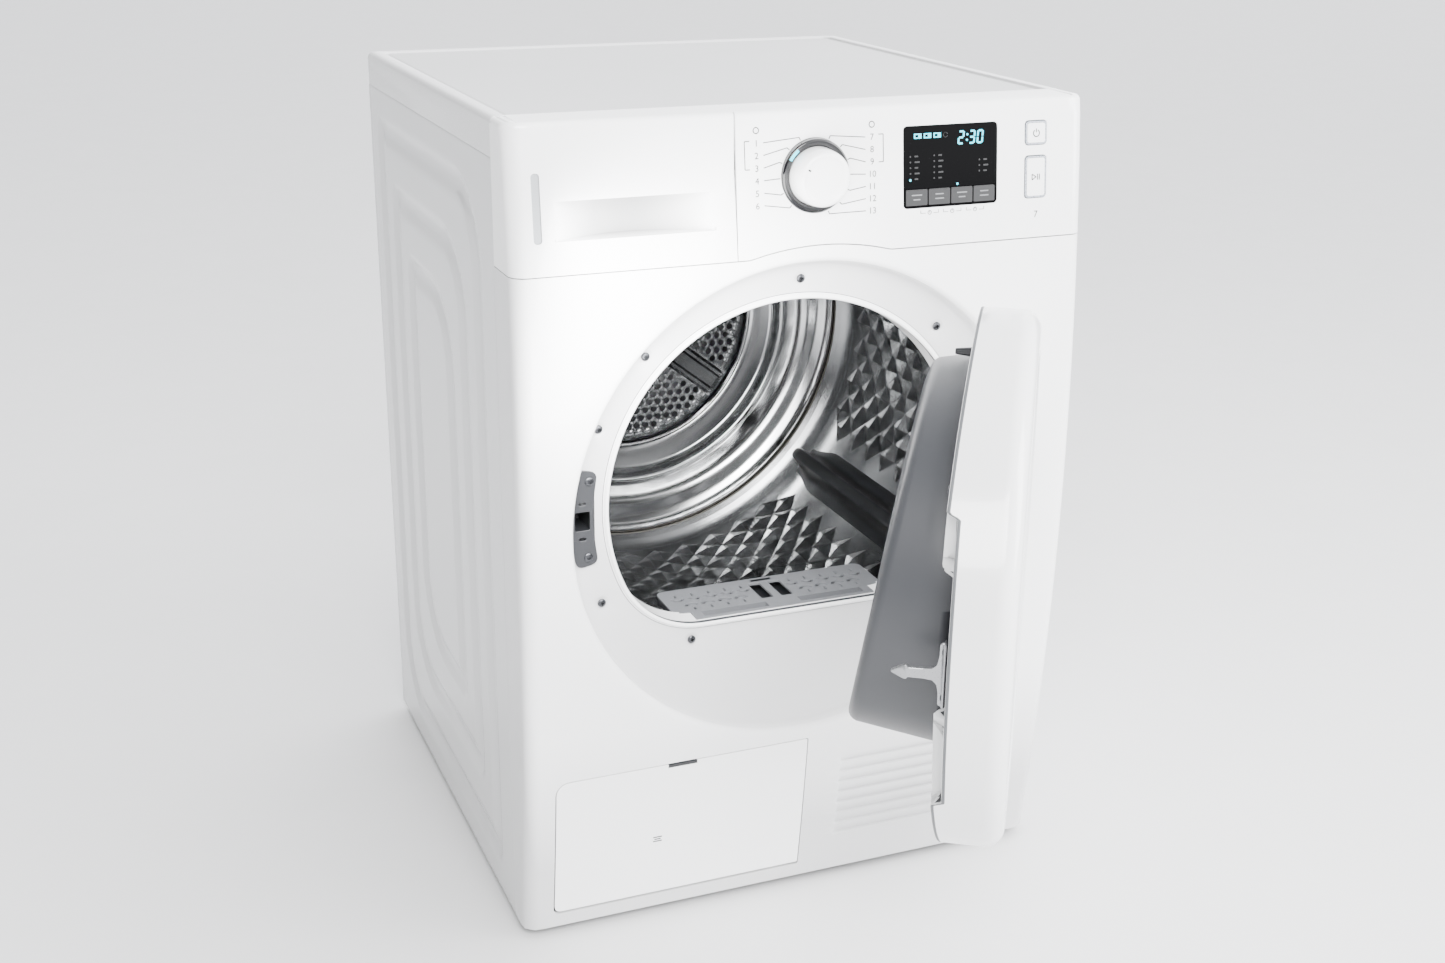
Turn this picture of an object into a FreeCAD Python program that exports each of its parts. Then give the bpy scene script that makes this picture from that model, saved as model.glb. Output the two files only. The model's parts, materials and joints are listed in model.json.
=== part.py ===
import FreeCAD, Part

# Front-loading condenser clothes dryer, with its door standing open.
#
# Frame: the origin lies on the floor under the middle of the cabinet's footprint, +X is to the
# right seen from the front, the front faces -Y and +Z is up. Millimetres.

import math
import os
import re

import Sketcher
from FreeCAD import Placement, Rotation, Vector

NODES = {}

# ---------------------------------------------------------------- driving dimensions

SIZES = {
    # cabinet
    "cabinet_width": 600,
    "cabinet_height": 850,
    "back_face": 300,
    "seam_depth": -240,
    "shell_bottom": 11,
    "steel": 1.2,
    "plastic": 3,
    "skin": 2.5,
    "seam_gap": 0.6,
    "joint_gap": 0.3,
    # the front is one upright arc, seen from the side
    "barrel_radius": 3070,
    "barrel_front": -310,
    "barrel_height": 475,
    "corner_radius": 15,
    # worktop
    "skirt_bottom": 812.5,
    "worktop_nose": -282,
    "nose_bottom": 838,
    "worktop_margin": 16,
    "worktop_front_margin": 2,
    "worktop_sink": 2,
    "panel_thick": 6,
    "nose_inset": 14,
    "worktop_edge": 12,
    # pressed beads in the side panels
    "bead_width": 34,
    "bead_depth": 4,
    "bead_front": -190,
    "bead_back": 262,
    "bead_bottom": 42,
    "bead_top": 783,
    "bead_step": 64,
    "bead_step_high": 68,
    "bead_tight_radius": 18,
    "bead_wide_radius": 95,
    "bead_mid_radius": 62,
    # control fascia and drawer
    "fascia_bottom": 712,
    "bump_radius": 286,
    "bump_middle": 7,
    "bump_height": 436,
    "drawer_split": -80,
    "fascia_top_radius": 8,
    # display, keys and buttons
    "window_left": 95,
    "window_right": 198,
    "window_bottom": 750,
    "window_top": 828,
    "key_left": 97,
    "key_pitch": 24.9,
    "key_width": 24.1,
    "key_bottom": 752,
    "key_top": 768,
    "key_depth": 6,
    "button_middle": 242,
    "button_width": 24,
    "power_bottom": 804,
    "power_top": 827,
    "start_bottom": 752,
    "start_top": 793,
    "button_stand": 1.2,
    "knob_middle": 1,
    "knob_height": 787.6,
    "knob_radius": 28,
    "knob_front": -319,
    "knob_back": -295.5,
    "knob_shaft_radius": 3,
    "ring_radius": 35,
    # tank drawer front
    "recess_left": -258,
    "recess_right": -101,
    "recess_bottom": 741,
    "recess_top": 779,
    "recess_back": -269,
    "level_left": -278,
    "level_right": -270,
    "level_bottom": 742,
    "level_top": 805,
    # water tank and its shelf
    "tank_right": -88,
    "tank_left": -282,
    "tank_front": -262,
    "tank_back": 190,
    "tank_top": 806,
    "tank_bottom": 722,
    "tank_arc": 294,
    # door ring pressed into the front
    "door_height": 456,
    "recess_radius": 249,
    "pan_front": -286,
    # drum opening: a circle with a flat chin, its corners rounded
    "opening_middle": -12,
    "opening_height": 472,
    "opening_radius": 195,
    "chin_height": 340,
    "chin_radius": 90,
    # filter cover and louvres
    "cover_left": -269,
    "cover_right": 8,
    "cover_bottom": 29.5,
    "cover_top": 190,
    "cover_corner": 14,
    "cover_axis_depth": -274.5,
    "cover_axis_height": 32,
    "knuckle_length": 20,
    "cover_knuckle": 2.2,
    "latch_left": -150,
    "latch_right": -116,
    "louvre_left": 48,
    "louvre_right": 250,
    "louvre_bottom": 58,
    "louvre_pitch": 13.4,
    "louvre_slot": 5,
    "louvre_count": 8,
    # drum
    "drum_height": 512,
    "drum_radius": 283,
    "drum_front": -252,
    "drum_back": 215,
    "drum_steel": 1,
    "lifter_first": -41,
    "lifter_base": 60,
    "lifter_crest": 16,
    "lifter_rise": 52,
    "lifter_front": -215,
    "lifter_back": 165,
    # supports at both ends of the drum
    "support_back": -259,
    "support_steel": 2,
    "glide_radius": 272,
    "bulkhead_face": 219,
    "air_disc_radius": 160,
    "air_disc_face": 251,
    "air_hole_radius": 5,
    "air_hole_pitch": 22,
    # lint filter on the chin
    "lint_half_width": 100,
    "lint_front": -280,
    "lint_back": -262.5,
    "lint_top": 341.5,
    "lint_bottom": 236,
    "ledge_half_width": 118,
    "ledge_front": -258.4,
    "ledge_back": -204,
    "ledge_bottom": 331,
    # door, drawn shut and then swung open about its hinge
    "door_open_angle": 57,
    "hinge_across": 218,
    "hinge_depth": -353,
    "door_radius": 243.4,
    "door_back": -296,
    "door_back_radius": 2952,
    "door_side_end": -342,
    "door_front": -360.5,
    "door_edge_radius": 18,
    "door_panel_radius": 206,
    "dish_radius": 900,
    "grip_bottom": 330,
    "grip_top": 590,
    "grip_depth": -308,
    "plug_radius": 186,
    "plug_chin": 350,
    "plug_chin_radius": 84,
    "plug_taper": 16,
    "plug_reach": 90,
    "plug_top_end": -268,
    "plug_slope": 8.9,
    # latch
    "latch_height": 464,
    "latch_across": -234,
    "hook_reach": 33,
    "hook_half_height": 4.5,
    "socket_width": 15,
    "socket_high": 19,
    # hinge
    "pin_radius": 3,
    "pin_clearance": 0.05,
    "knuckle_radius": 4.7,
    "lug_spread": 35,
    "lug_thick": 4,
    "lug_width": 12,
    # drive
    "motor_across": 150,
    "motor_height": 112,
    "motor_radius": 62,
    "pulley_radius": 11,
    "belt_front": 182,
    "belt_back": 190,
    "belt_thick": 2,
    "roller_radius": 35,
    "roller_angle": 35,
    "roller_front": 199,
    "roller_back": 213,
    "fan_radius": 74,
    "fan_front": -90,
    "fan_width": 52,
    "hub_radius": 22,
    "scroll_radius": 88,
    "scroll_wall": 3,
    "scroll_front": -108,
    "scroll_back": -24,
    "shaft_radius": 8,
    # heat exchanger, heater and pump
    "exchanger_left": -246,
    "exchanger_right": 2,
    "exchanger_front": -222,
    "exchanger_back": 60,
    "exchanger_bottom": 34,
    "exchanger_top": 182,
    "fin_pitch": 10,
    "fin_thick": 1.6,
    "fin_count": 13,
    "heater_depth": 272,
    "heater_pitch": 22,
    "coil_radius": 4,
    "pump_across": -215,
    "pump_depth": 185,
    "pump_radius": 26,
    # base tray
    "tray_inset": 7,
    "tray_top": 62,
    "boss_radius": 12,
    "boss_top": 48,
    # rear cover over the air duct
    "duct_height": 470,
    "duct_radius": 214,
    "duct_rim": 18,
    "duct_depth": 12,
    "duct_left": -84,
    "duct_right": 212,
    "duct_bottom": 78,
    "duct_slots": 6,
    "slot_pitch": 14,
    # outside fittings
    "foot_across": 262,
    "foot_front": -212,
    "foot_back": 268,
    "foot_radius": 20,
    "stud_radius": 5,
    "spigot_radius": 9,
    "spigot_across": 245,
    "spigot_height": 92,
    "spigot_length": 20,
    "spigot_flange": 15,
    "gland_across": -235,
    "gland_height": 150,
    "gland_radius": 11,
    "gland_bore": 4.5,
}

# cross-head screws, as (x, z): round the door ring, and in the rear cover
RING_SCREWS = [(-8, 687), (144, 625.5), (-168, 624), (-216, 557), (-215, 377), (-120, 322), (96, 322)]
REAR_SCREW_TURNS = (15, 60, 120, 165, 225)
REAR_FOOT_SCREWS = [(-75, 86), (64, 86), (204, 86)]
DOOR_SCREW_TURNS = (38, 75, 140, 220, 262, 300)
DOOR_SCREW_REACH = 217
BUFFER_PLACE = (-60, 682)

doc = FreeCAD.newDocument("dryer")
sheet = doc.addObject("Spreadsheet::Sheet", "dims")
for row, (alias, value) in enumerate(SIZES.items(), 1):
    sheet.set(f"A{row}", alias)
    sheet.set(f"B{row}", str(value))
    sheet.setAlias(f"B{row}", alias)
doc.recompute()


def size(alias):
    """A driving dimension, read from the sheet."""
    return float(sheet.get(alias))


def rule(text):
    """An expression in which every driving dimension points at its cell."""
    return re.sub(r"[A-Za-z_]\w*", lambda m: f"dims.{m[0]}" if m[0] in SIZES else m[0], str(text))


# ---------------------------------------------------------------- building blocks

TURNED = {
    "x": Rotation(Vector(0, 1, 0), 90),
    "y": Rotation(Vector(1, 0, 0), -90),
    "z": Rotation(),
}


def box(name, x, y, z):
    """A box between two limits along each axis."""
    item = doc.addObject("Part::Box", name)
    for side, axis, (low, high) in (("Length", "x", x), ("Width", "y", y), ("Height", "z", z)):
        item.setExpression(side, rule(f"({high}) - ({low})"))
        item.setExpression(f"Placement.Base.{axis}", rule(low))
    return item


def rod(name, along, radius, span, centre):
    """A cylinder along one axis; centre gives its place across the other two, in X, Y, Z order."""
    item = doc.addObject("Part::Cylinder", name)
    item.Placement = Placement(Vector(), TURNED[along])
    item.setExpression("Radius", rule(radius))
    item.setExpression("Height", rule(f"({span[1]}) - ({span[0]})"))
    across = [axis for axis in "xyz" if axis != along]
    item.setExpression(f"Placement.Base.{along}", rule(span[0]))
    for axis, place in zip(across, centre):
        item.setExpression(f"Placement.Base.{axis}", rule(place))
    return item


def fuse(name, *items):
    item = doc.addObject("Part::MultiFuse", name)
    item.Shapes = list(items)
    return item


def cut(name, base, *tools):
    item = doc.addObject("Part::Cut", name)
    item.Base = base
    item.Tool = tools[0] if len(tools) == 1 else fuse(f"{name}_tools", *tools)
    return item


def common(name, *items):
    item = doc.addObject("Part::MultiCommon", name)
    item.Shapes = list(items)
    return item


def rounded(name, base, radius, chosen):
    """Fillet the edges whose middle point and direction pass a test."""
    doc.recompute()
    edges = []
    for number, edge in enumerate(base.Shape.Edges, 1):
        middle = edge.valueAt((edge.FirstParameter + edge.LastParameter) / 2)
        heading = edge.tangentAt((edge.FirstParameter + edge.LastParameter) / 2)
        if chosen(middle, heading):
            edges.append((number, size(radius), size(radius)))
    item = doc.addObject("Part::Fillet", name)
    item.Base = base
    item.Edges = edges
    return item


def shaped(name, make):
    """A piece that neither a sketch nor a primitive fits, drawn from the sheet's sizes."""
    item = doc.addObject("Part::Feature", name)
    item.Shape = make()
    return item


def turned(name, outline, centre=("0", "0")):
    """A body turned about a line along Y: outline is a list of (radius, depth) rules."""
    body = doc.addObject("PartDesign::Body", name)
    sketch = body.newObject("Sketcher::SketchObject", f"{name}_outline")
    plane = [item for item in body.Origin.OriginFeatures if item.Role == "XY_Plane"][0]
    sketch.AttachmentSupport = (plane, "")
    sketch.MapMode = "FlatFace"
    count = len(outline)
    start = [Vector(200 + 90 * math.cos(2 * math.pi * i / count), 90 * math.sin(2 * math.pi * i / count), 0)
             for i in range(count)]
    for i in range(count):
        sketch.addGeometry(Part.LineSegment(start[i], start[(i + 1) % count]), False)
    for i in range(count):
        sketch.addConstraint(Sketcher.Constraint("Coincident", i, 2, (i + 1) % count, 1))
    for i, corner in enumerate(outline):
        for kind, text, value in zip(("DistanceX", "DistanceY"), corner, (start[i].x, start[i].y)):
            number = sketch.addConstraint(Sketcher.Constraint(kind, -1, 1, i, 1, value))
            sketch.setExpression(f"Constraints[{number}]", rule(text))
    turn = body.newObject("PartDesign::Revolution", f"{name}_turn")
    turn.Profile = sketch
    turn.ReferenceAxis = (sketch, ["V_Axis"])
    turn.Angle = 360
    body.Tip = turn
    for axis, place in zip("xz", centre):
        body.setExpression(f"Placement.Base.{axis}", rule(place))
    return body


def keep(item, label):
    """Name a finished sub-part; its label is its file's name."""
    item.Label = label
    NODES[label] = item
    return item


def barrel(name, inset):
    """The cylinder whose front is the dryer's curved face, set in by a distance."""
    return rod(name, "x", f"barrel_radius - ({inset})", ("-cabinet_width", "cabinet_width"),
               ("barrel_front + barrel_radius", "barrel_height"))


def barrel_slab(name, x, z, outer, inner):
    """The part of the curved face inside a rectangle, between two depths below it."""
    block = box(f"{name}_block", x, ("barrel_front - 20", "seam_depth - 10"), z)
    skin = common(f"{name}_skin", block, barrel(f"{name}_outer", outer))
    return cut(name, skin, barrel(f"{name}_inner", inner))


def front_blank(name, inset, z):
    """The cabinet's front as a solid: curved face, rounded upright corners."""
    block = box(f"{name}_block", (f"-cabinet_width / 2 + {inset}", f"cabinet_width / 2 - ({inset})"),
                ("barrel_front - 20", f"seam_depth - joint_gap + ({inset}) * 4"), z)
    face = common(f"{name}_face", block, barrel(f"{name}_arc", inset))
    doc.recompute()
    half = size("cabinet_width") / 2
    return rounded(name, face, "corner_radius",
                   lambda at, to: abs(abs(at.x) - half) < 4 and abs(to.z) > 0.9 and at.y < -260)


def opening_wire(radius, chin, corner, depth, swell=0.0):
    """A circle with a flat chin and rounded corners, as a wire at one depth."""
    across, height = size("opening_middle"), size("opening_height")
    radius, chin = radius + swell, chin - swell
    corner = corner + swell
    rise = chin + corner - height
    side = math.sqrt((radius - corner) ** 2 - rise ** 2)
    left = Vector(across - side, depth, height + rise)
    right = Vector(across + side, depth, height + rise)
    middle = Vector(across, depth, height)
    down = Vector(0, 0, -corner)
    left_touch = middle + (left - middle).normalize() * radius
    right_touch = middle + (right - middle).normalize() * radius
    turn = math.radians(0.5 * (90 + math.degrees(math.atan2(-rise, side))))
    bend = Vector(math.cos(turn) * corner, 0, -math.sin(turn) * corner)
    crown = middle + Vector(0, 0, radius)
    edges = [
        Part.LineSegment(right + down, left + down).toShape(),
        Part.Arc(left + down, left + Vector(-bend.x, 0, bend.z), left_touch).toShape(),
        Part.Arc(left_touch, crown, right_touch).toShape(),
        Part.Arc(right_touch, right + bend, right + down).toShape(),
    ]
    return Part.Wire(edges)


def opening_prism(swell, front, back):
    """The drum opening's outline, grown by a distance, carried from one depth to another."""
    wire = opening_wire(size("opening_radius"), size("chin_height"), size("chin_radius"), front, swell)
    return Part.Face(wire).extrude(Vector(0, back - front, 0))


def on_open_door(item):
    """Swing a piece drawn on the shut door to where the open door stands."""
    turn = "door_open_angle * 1deg"
    item.Placement = Placement(Vector(), Rotation(Vector(0, 0, 1), size("door_open_angle")))
    item.setExpression("Placement.Rotation.Angle", rule("door_open_angle"))
    item.setExpression("Placement.Base.x",
                       rule(f"hinge_across - hinge_across * cos({turn}) + hinge_depth * sin({turn})"))
    item.setExpression("Placement.Base.y",
                       rule(f"hinge_depth - hinge_across * sin({turn}) - hinge_depth * cos({turn})"))
    item.setExpression("Placement.Base.z", "0")
    return item


def screw(name, across, height, head_face, towards=-1, head=4.4, shank=1.9, length=11):
    """A pan-head screw along Y with a cross recess; the head stands out of head_face."""
    tip = head_face - towards * length
    crest = head_face + towards * 2.4
    low, high = sorted((head_face, crest))
    thread_low, thread_high = sorted((head_face, tip))
    body = fuse(f"{name}_blank",
                rod(f"{name}_head", "y", str(head), (str(low), str(high)), (str(across), str(height))),
                rod(f"{name}_shank", "y", str(shank), (str(thread_low), str(thread_high)),
                    (str(across), str(height))))
    floor_low, floor_high = sorted((crest, crest - towards * 1.4))
    deep = (str(floor_low), str(floor_high))
    slots = [box(f"{name}_slot_{n}", (f"{across} - {w}", f"{across} + {w}"), deep,
                 (f"{height} - {v}", f"{height} + {v}")) for n, (w, v) in enumerate(((0.5, 2.4), (2.4, 0.5)))]
    return cut(name, body, *slots)


# ---------------------------------------------------------------- cabinet


def bead_ring(name, step, face, depth, trim=0.0):
    """One pressed bead as a solid frame, slimmer by a trim: two corners are tight and two are wide."""
    parts = []
    wide_radius = "bead_mid_radius" if step else "bead_wide_radius"
    for edge_name, inset in (("rim", trim), ("core", size("bead_width") - trim)):
        low_y = f"bead_front + {step} * bead_step + {inset}"
        high_y = f"bead_back - {step} * bead_step - {inset}"
        low_z = f"bead_bottom + {step} * bead_step_high + {inset}"
        high_z = f"bead_top - {step} * bead_step_high - {inset}"
        block = box(f"{name}_{edge_name}", (face, f"{face} + {depth}"), (low_y, high_y), (low_z, high_z))
        doc.recompute()
        limits = block.Shape.BoundBox
        middle = limits.Center

        def wide(at, to):
            return abs(to.x) > 0.9 and (at.y - middle.y) * (at.z - middle.z) < 0

        def tight(at, to):
            return abs(to.x) > 0.9 and (at.y - middle.y) * (at.z - middle.z) > 0

        first = rounded(f"{name}_{edge_name}_wide", block, wide_radius, wide)
        parts.append(rounded(f"{name}_{edge_name}_tight", first, "bead_tight_radius", tight))
    return cut(name, parts[0], parts[1])


def side_panels():
    """Steel sides with folded edges and three nested pressed beads."""
    left = "-cabinet_width / 2"
    tall = ("shell_bottom", "skirt_bottom - joint_gap")
    sheet_part = box("side_sheet", (left, f"{left} + steel"), ("seam_depth", "back_face - steel"), tall)
    flanges = [
        box("side_back_flange", (left, f"{left} + 18"), ("back_face - 2 * steel", "back_face - steel"), tall),
        box("side_front_flange", (left, f"{left} + 14"), ("seam_depth", "seam_depth + steel"), tall),
        box("side_foot_flange", (left, f"{left} + 18"), ("seam_depth", "back_face - steel"),
            ("shell_bottom", "shell_bottom + steel")),
    ]
    backs = [bead_ring(f"bead_back_{n}", n, f"{left} + steel", "bead_depth") for n in range(3)]
    grooves = [bead_ring(f"bead_groove_{n}", n, f"{left} - 1", "bead_depth + 1", size("steel"))
               for n in range(3)]
    blank = fuse("side_blank", sheet_part, *flanges, *backs)
    panel = keep(cut("side_left", blank, *grooves), "side_panel_left")
    mirror = doc.addObject("Part::Mirroring", "side_right")
    mirror.Source = panel
    mirror.Normal = Vector(1, 0, 0)
    keep(mirror, "side_panel_right")


def worktop():
    """A moulded frame with a thin nose over the fascia and a flat panel let into it."""
    half = "cabinet_width / 2"
    inner = f"{half} - worktop_margin"
    slab = box("top_slab", (f"-{half}", half), ("seam_depth - joint_gap / 2", "back_face"),
               ("skirt_bottom", "cabinet_height"))
    nose = box("top_nose", (f"-{half} + nose_inset", f"{half} - nose_inset"), ("worktop_nose", "seam_depth"),
               ("nose_bottom", "cabinet_height - 1"))
    blank = fuse("top_blank", slab, nose)
    soft = rounded("top_soft", blank, "worktop_edge",
                   lambda at, to: at.z > size("cabinet_height") - 0.5 and (
                       abs(at.x) > size("cabinet_width") / 2 - 0.5 or at.y > size("back_face") - 0.5))
    hollow = box("top_hollow", (f"-{half} + plastic", f"{half} - plastic"),
                 ("seam_depth + plastic", "back_face - plastic"), ("skirt_bottom - 1", "cabinet_height - 8"))
    front = "seam_depth + worktop_front_margin"
    seat = box("top_seat", (f"-({inner})", inner), (front, "back_face - worktop_margin"),
               ("cabinet_height - panel_thick", "cabinet_height + 1"))
    keep(cut("top_frame", soft, hollow, seat), "worktop_frame")
    keep(box("top_panel", (f"-({inner}) + joint_gap", f"{inner} - joint_gap"),
             (f"{front} + joint_gap", "back_face - worktop_margin - joint_gap"),
             ("cabinet_height - panel_thick", "cabinet_height - worktop_sink")), "worktop_panel")


def screw_circle(turns, radius, height):
    """Screw places on a circle about the cabinet's middle line, as (x, z)."""
    return [(round(radius * math.cos(math.radians(turn)), 1),
             round(height + radius * math.sin(math.radians(turn)), 1)) for turn in turns]


def rear_screws():
    """Screw places round the rear cover's disc and along its foot."""
    return screw_circle(REAR_SCREW_TURNS, size("duct_radius") - 10, size("duct_height")) + REAR_FOOT_SCREWS


def rear_shell():
    """Flat steel back with a round service opening, and the duct cover screwed over it."""
    sheet_part = box("back_sheet", ("-cabinet_width / 2", "cabinet_width / 2"),
                     ("back_face - steel", "back_face"), ("shell_bottom", "skirt_bottom - joint_gap"))
    through = ("back_face - 10", "back_face + 10")
    middle = ("0", "duct_height")
    window = rod("back_window", "y", "duct_radius - 14", through, middle)
    lower = box("back_lower", ("duct_left + 14", "duct_right - 12"), through, ("duct_bottom + 12", "330"))
    inlet = rod("back_inlet", "y", "gland_radius + 0.2", through, ("gland_across", "gland_height"))
    drain = rod("back_drain", "y", "spigot_radius + 1.2", through, ("spigot_across", "spigot_height"))
    keep(cut("back_cut", sheet_part, window, lower, inlet, drain), "rear_panel")
    outside = ("back_face", "back_face + duct_depth")
    inside = ("back_face - 1", "back_face + duct_depth - 2")
    dome = fuse("cover_dome", rod("cover_disc", "y", "duct_radius", outside, middle),
                box("cover_foot", ("duct_left", "duct_right"), outside, ("duct_bottom", "400")))
    hollow = fuse("cover_hollow", rod("cover_hollow_disc", "y", "duct_radius - duct_rim", inside, middle),
                  box("cover_hollow_foot", ("duct_left + duct_rim", "duct_right - 16"), inside,
                      ("duct_bottom + 16", "400")))
    slots = []
    for n in range(int(size("duct_slots"))):
        start = f"duct_bottom + 26 + {n} * slot_pitch"
        slots.append(box(f"cover_slot_{n}", ("20", "180"), ("back_face + 5", "back_face + 20"),
                         (start, f"{start} + 6")))
    holes = [rod(f"cover_hole_{n}", "y", "2", ("back_face - 1", "back_face + 14"), (str(x), str(z)))
             for n, (x, z) in enumerate(rear_screws())]
    keep(cut("cover_cut", dome, hollow, *slots, *holes), "rear_duct_cover")


def front_cutters():
    """The flap and louvre openings low on the front panel."""
    flap = box("flap_hole", ("cover_left - 1", "cover_right + 1"), ("barrel_front - 5", "seam_depth"),
               ("cover_bottom - 3", "cover_top + 1"))
    slots = [box(f"louvre_slot_{n}", ("louvre_left", "louvre_right"), ("barrel_front - 5", "seam_depth"),
                 (f"louvre_bottom + {n} * louvre_pitch", f"louvre_bottom + {n} * louvre_pitch + louvre_slot"))
             for n in range(int(size("louvre_count")))]
    return [flap] + slots


def front_panel():
    """Curved steel front with the door ring pressed into it."""
    limits = ("shell_bottom", "fascia_bottom + 20")
    outer = front_blank("front_outer", "0", limits)
    inner = front_blank("front_inner", "plastic", ("0", "cabinet_height"))
    low = box("front_low", ("-cabinet_width", "cabinet_width"), ("barrel_front - 20", "0"),
              ("0", "fascia_bottom - seam_gap / 2"))
    bump = rod("front_bump", "y", "bump_radius - seam_gap / 2", ("barrel_front - 20", "0"),
               ("bump_middle", "bump_height"))
    outline = fuse("front_outline", low, bump)
    shell = cut("front_shell", common("front_sheet", outer, outline), inner)
    middle = ("0", "door_height")
    disc = rod("front_pan_disc", "y", "recess_radius + plastic", ("barrel_front - 20", "pan_front + plastic"),
               middle)
    pan = common("front_pan", disc, front_blank("front_limit", "0", limits))
    recess = rod("front_recess", "y", "recess_radius", ("barrel_front - 30", "pan_front"), middle)
    opening = shaped("front_opening", lambda: opening_prism(0, size("barrel_front"), size("seam_depth")))
    through = ("barrel_front - 10", "seam_depth")
    socket = box("front_socket", ("latch_across - 13", "latch_across + 13"), through,
                 ("latch_height - 30", "latch_height + 34"))
    holes = [rod(f"front_hole_{n}", "y", "2", through, (str(x), str(z)))
             for n, (x, z) in enumerate(RING_SCREWS)]
    blank = fuse("front_blank", shell, pan)
    keep(cut("front_cut", blank, recess, opening, socket, *holes, *front_cutters()), "front_panel")


def fascia_and_drawer():
    """The moulded control fascia and, left of the split, the tank drawer's front."""
    limits = ("fascia_bottom + seam_gap / 2", "cabinet_height - 0.5")
    outer = front_blank("fascia_outer", "0", limits)
    soft = rounded("fascia_soft", outer, "fascia_top_radius",
                   lambda at, to: at.z > size("cabinet_height") - 1 and at.y < -280 and abs(to.x) > 0.9)
    inner = front_blank("fascia_inner", "plastic", ("0", "cabinet_height - 0.5 - plastic"))
    bump = rod("fascia_bump", "y", "bump_radius + seam_gap / 2", ("barrel_front - 20", "0"),
               ("bump_middle", "bump_height"))
    reach = "cabinet_width / 2 - nose_inset + joint_gap"
    nose = box("fascia_nose", (f"-({reach})", reach),
               ("worktop_nose - joint_gap", "0"), ("nose_bottom - joint_gap", "cabinet_height + 5"))
    shell = cut("fascia_shell", soft, inner, bump, nose)
    right = box("fascia_right", ("drawer_split + seam_gap / 2", "cabinet_width"), ("-400", "0"),
                ("0", "cabinet_height + 10"))
    left = box("fascia_left", ("-cabinet_width", "drawer_split - seam_gap / 2"), ("-400", "0"),
               ("0", "cabinet_height + 10"))
    through = ("barrel_front - 10", "seam_depth")
    window = box("window_hole", ("window_left - 0.2", "window_right + 0.2"), through,
                 ("window_bottom - 0.2", "window_top + 0.2"))
    button = ("button_middle - button_width / 2 - 0.5", "button_middle + button_width / 2 + 0.5")
    power = box("power_hole", button, through, ("power_bottom - 0.5", "power_top + 0.5"))
    start = box("start_hole", button, through, ("start_bottom - 0.5", "start_top + 0.5"))
    dial = rod("dial_hole", "y", "ring_radius + 0.2", through, ("knob_middle", "knob_height"))
    keep(cut("fascia", common("fascia_half", shell, right), window, power, start, dial), "control_fascia")
    scoop = common("scoop_block", box("scoop_walls", ("recess_left - skin", "recess_right + skin"),
                                      ("barrel_front", "recess_back + skin"),
                                      ("recess_bottom - skin", "recess_top + skin")),
                   barrel("scoop_face", "0"))
    front = fuse("drawer_blank", common("drawer_half", shell, left), scoop)
    pocket = box("scoop_pocket", ("recess_left", "recess_right"), ("barrel_front - 5", "recess_back"),
                 ("recess_bottom", "recess_top"))
    level = box("level_hole", ("level_left", "level_right"), through, ("level_bottom", "level_top"))
    keep(cut("drawer", front, pocket, level), "drawer_front")
    keep(barrel_slab("level_pane", ("level_left + 0.15", "level_right - 0.15"),
                     ("level_bottom + 0.15", "level_top - 0.15"), "0.6", "plastic"), "level_window")


def controls():
    """Display window, option keys, two push buttons, and the knob in its ring."""
    pane = barrel_slab("pane", ("window_left", "window_right"), ("window_bottom", "window_top"), "-0.2",
                       "plastic")
    sill = box("pane_sill", ("key_left - 0.4", "key_left + 4 * key_pitch"),
               ("barrel_front - 10", "seam_depth"), ("key_bottom - 0.5", "key_top + 0.5"))
    keep(cut("pane_cut", pane, sill), "display_window")
    for n in range(4):
        start = f"key_left + {n} * key_pitch"
        keep(barrel_slab(f"key_{n + 1}", (start, f"{start} + key_width"), ("key_bottom", "key_top"),
                         "-0.3", "key_depth"), f"option_key_{n + 1}")
    across = ("button_middle - button_width / 2", "button_middle + button_width / 2")
    for label in ("power", "start"):
        upright = (f"{label}_bottom", f"{label}_top")
        keep(barrel_slab(f"{label}_cap", across, upright, "-button_stand", "key_depth"), f"{label}_button")
    centre = ("knob_middle", "knob_height")
    keep(turned("dial_ring", [
        ("knob_radius + 0.6", "-291"), ("ring_radius", "-291"), ("ring_radius", "-296"),
        ("ring_radius - 1.5", "-297.5"), ("knob_radius + 0.6", "-296.5"),
    ], centre), "knob_ring")
    keep(turned("dial_knob", [
        ("0", "knob_front + 2"), ("knob_radius - 9", "knob_front + 1.4"), ("knob_radius - 6", "knob_front"),
        ("knob_radius - 3.5", "knob_front + 0.6"), ("knob_radius - 1.2", "knob_front + 4"),
        ("knob_radius", "knob_back"), ("knob_radius - 3", "knob_back"), ("knob_radius - 3", "knob_back - 4"),
        ("knob_shaft_radius", "knob_back - 4"), ("knob_shaft_radius", "-284"), ("0", "-284"),
    ], centre), "program_knob")
    circuit = box("board_sheet", ("60", "275"), ("-280", "-278.4"), ("735", "828"))
    parts = [box("board_relay", ("205", "225"), ("-278.4", "-264"), ("745", "763")),
             box("board_chip", ("120", "140"), ("-278.4", "-276"), ("775", "795"))]
    keep(fuse("board", circuit, *parts), "control_board")


# ---------------------------------------------------------------- filter cover, lock, opening


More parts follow.
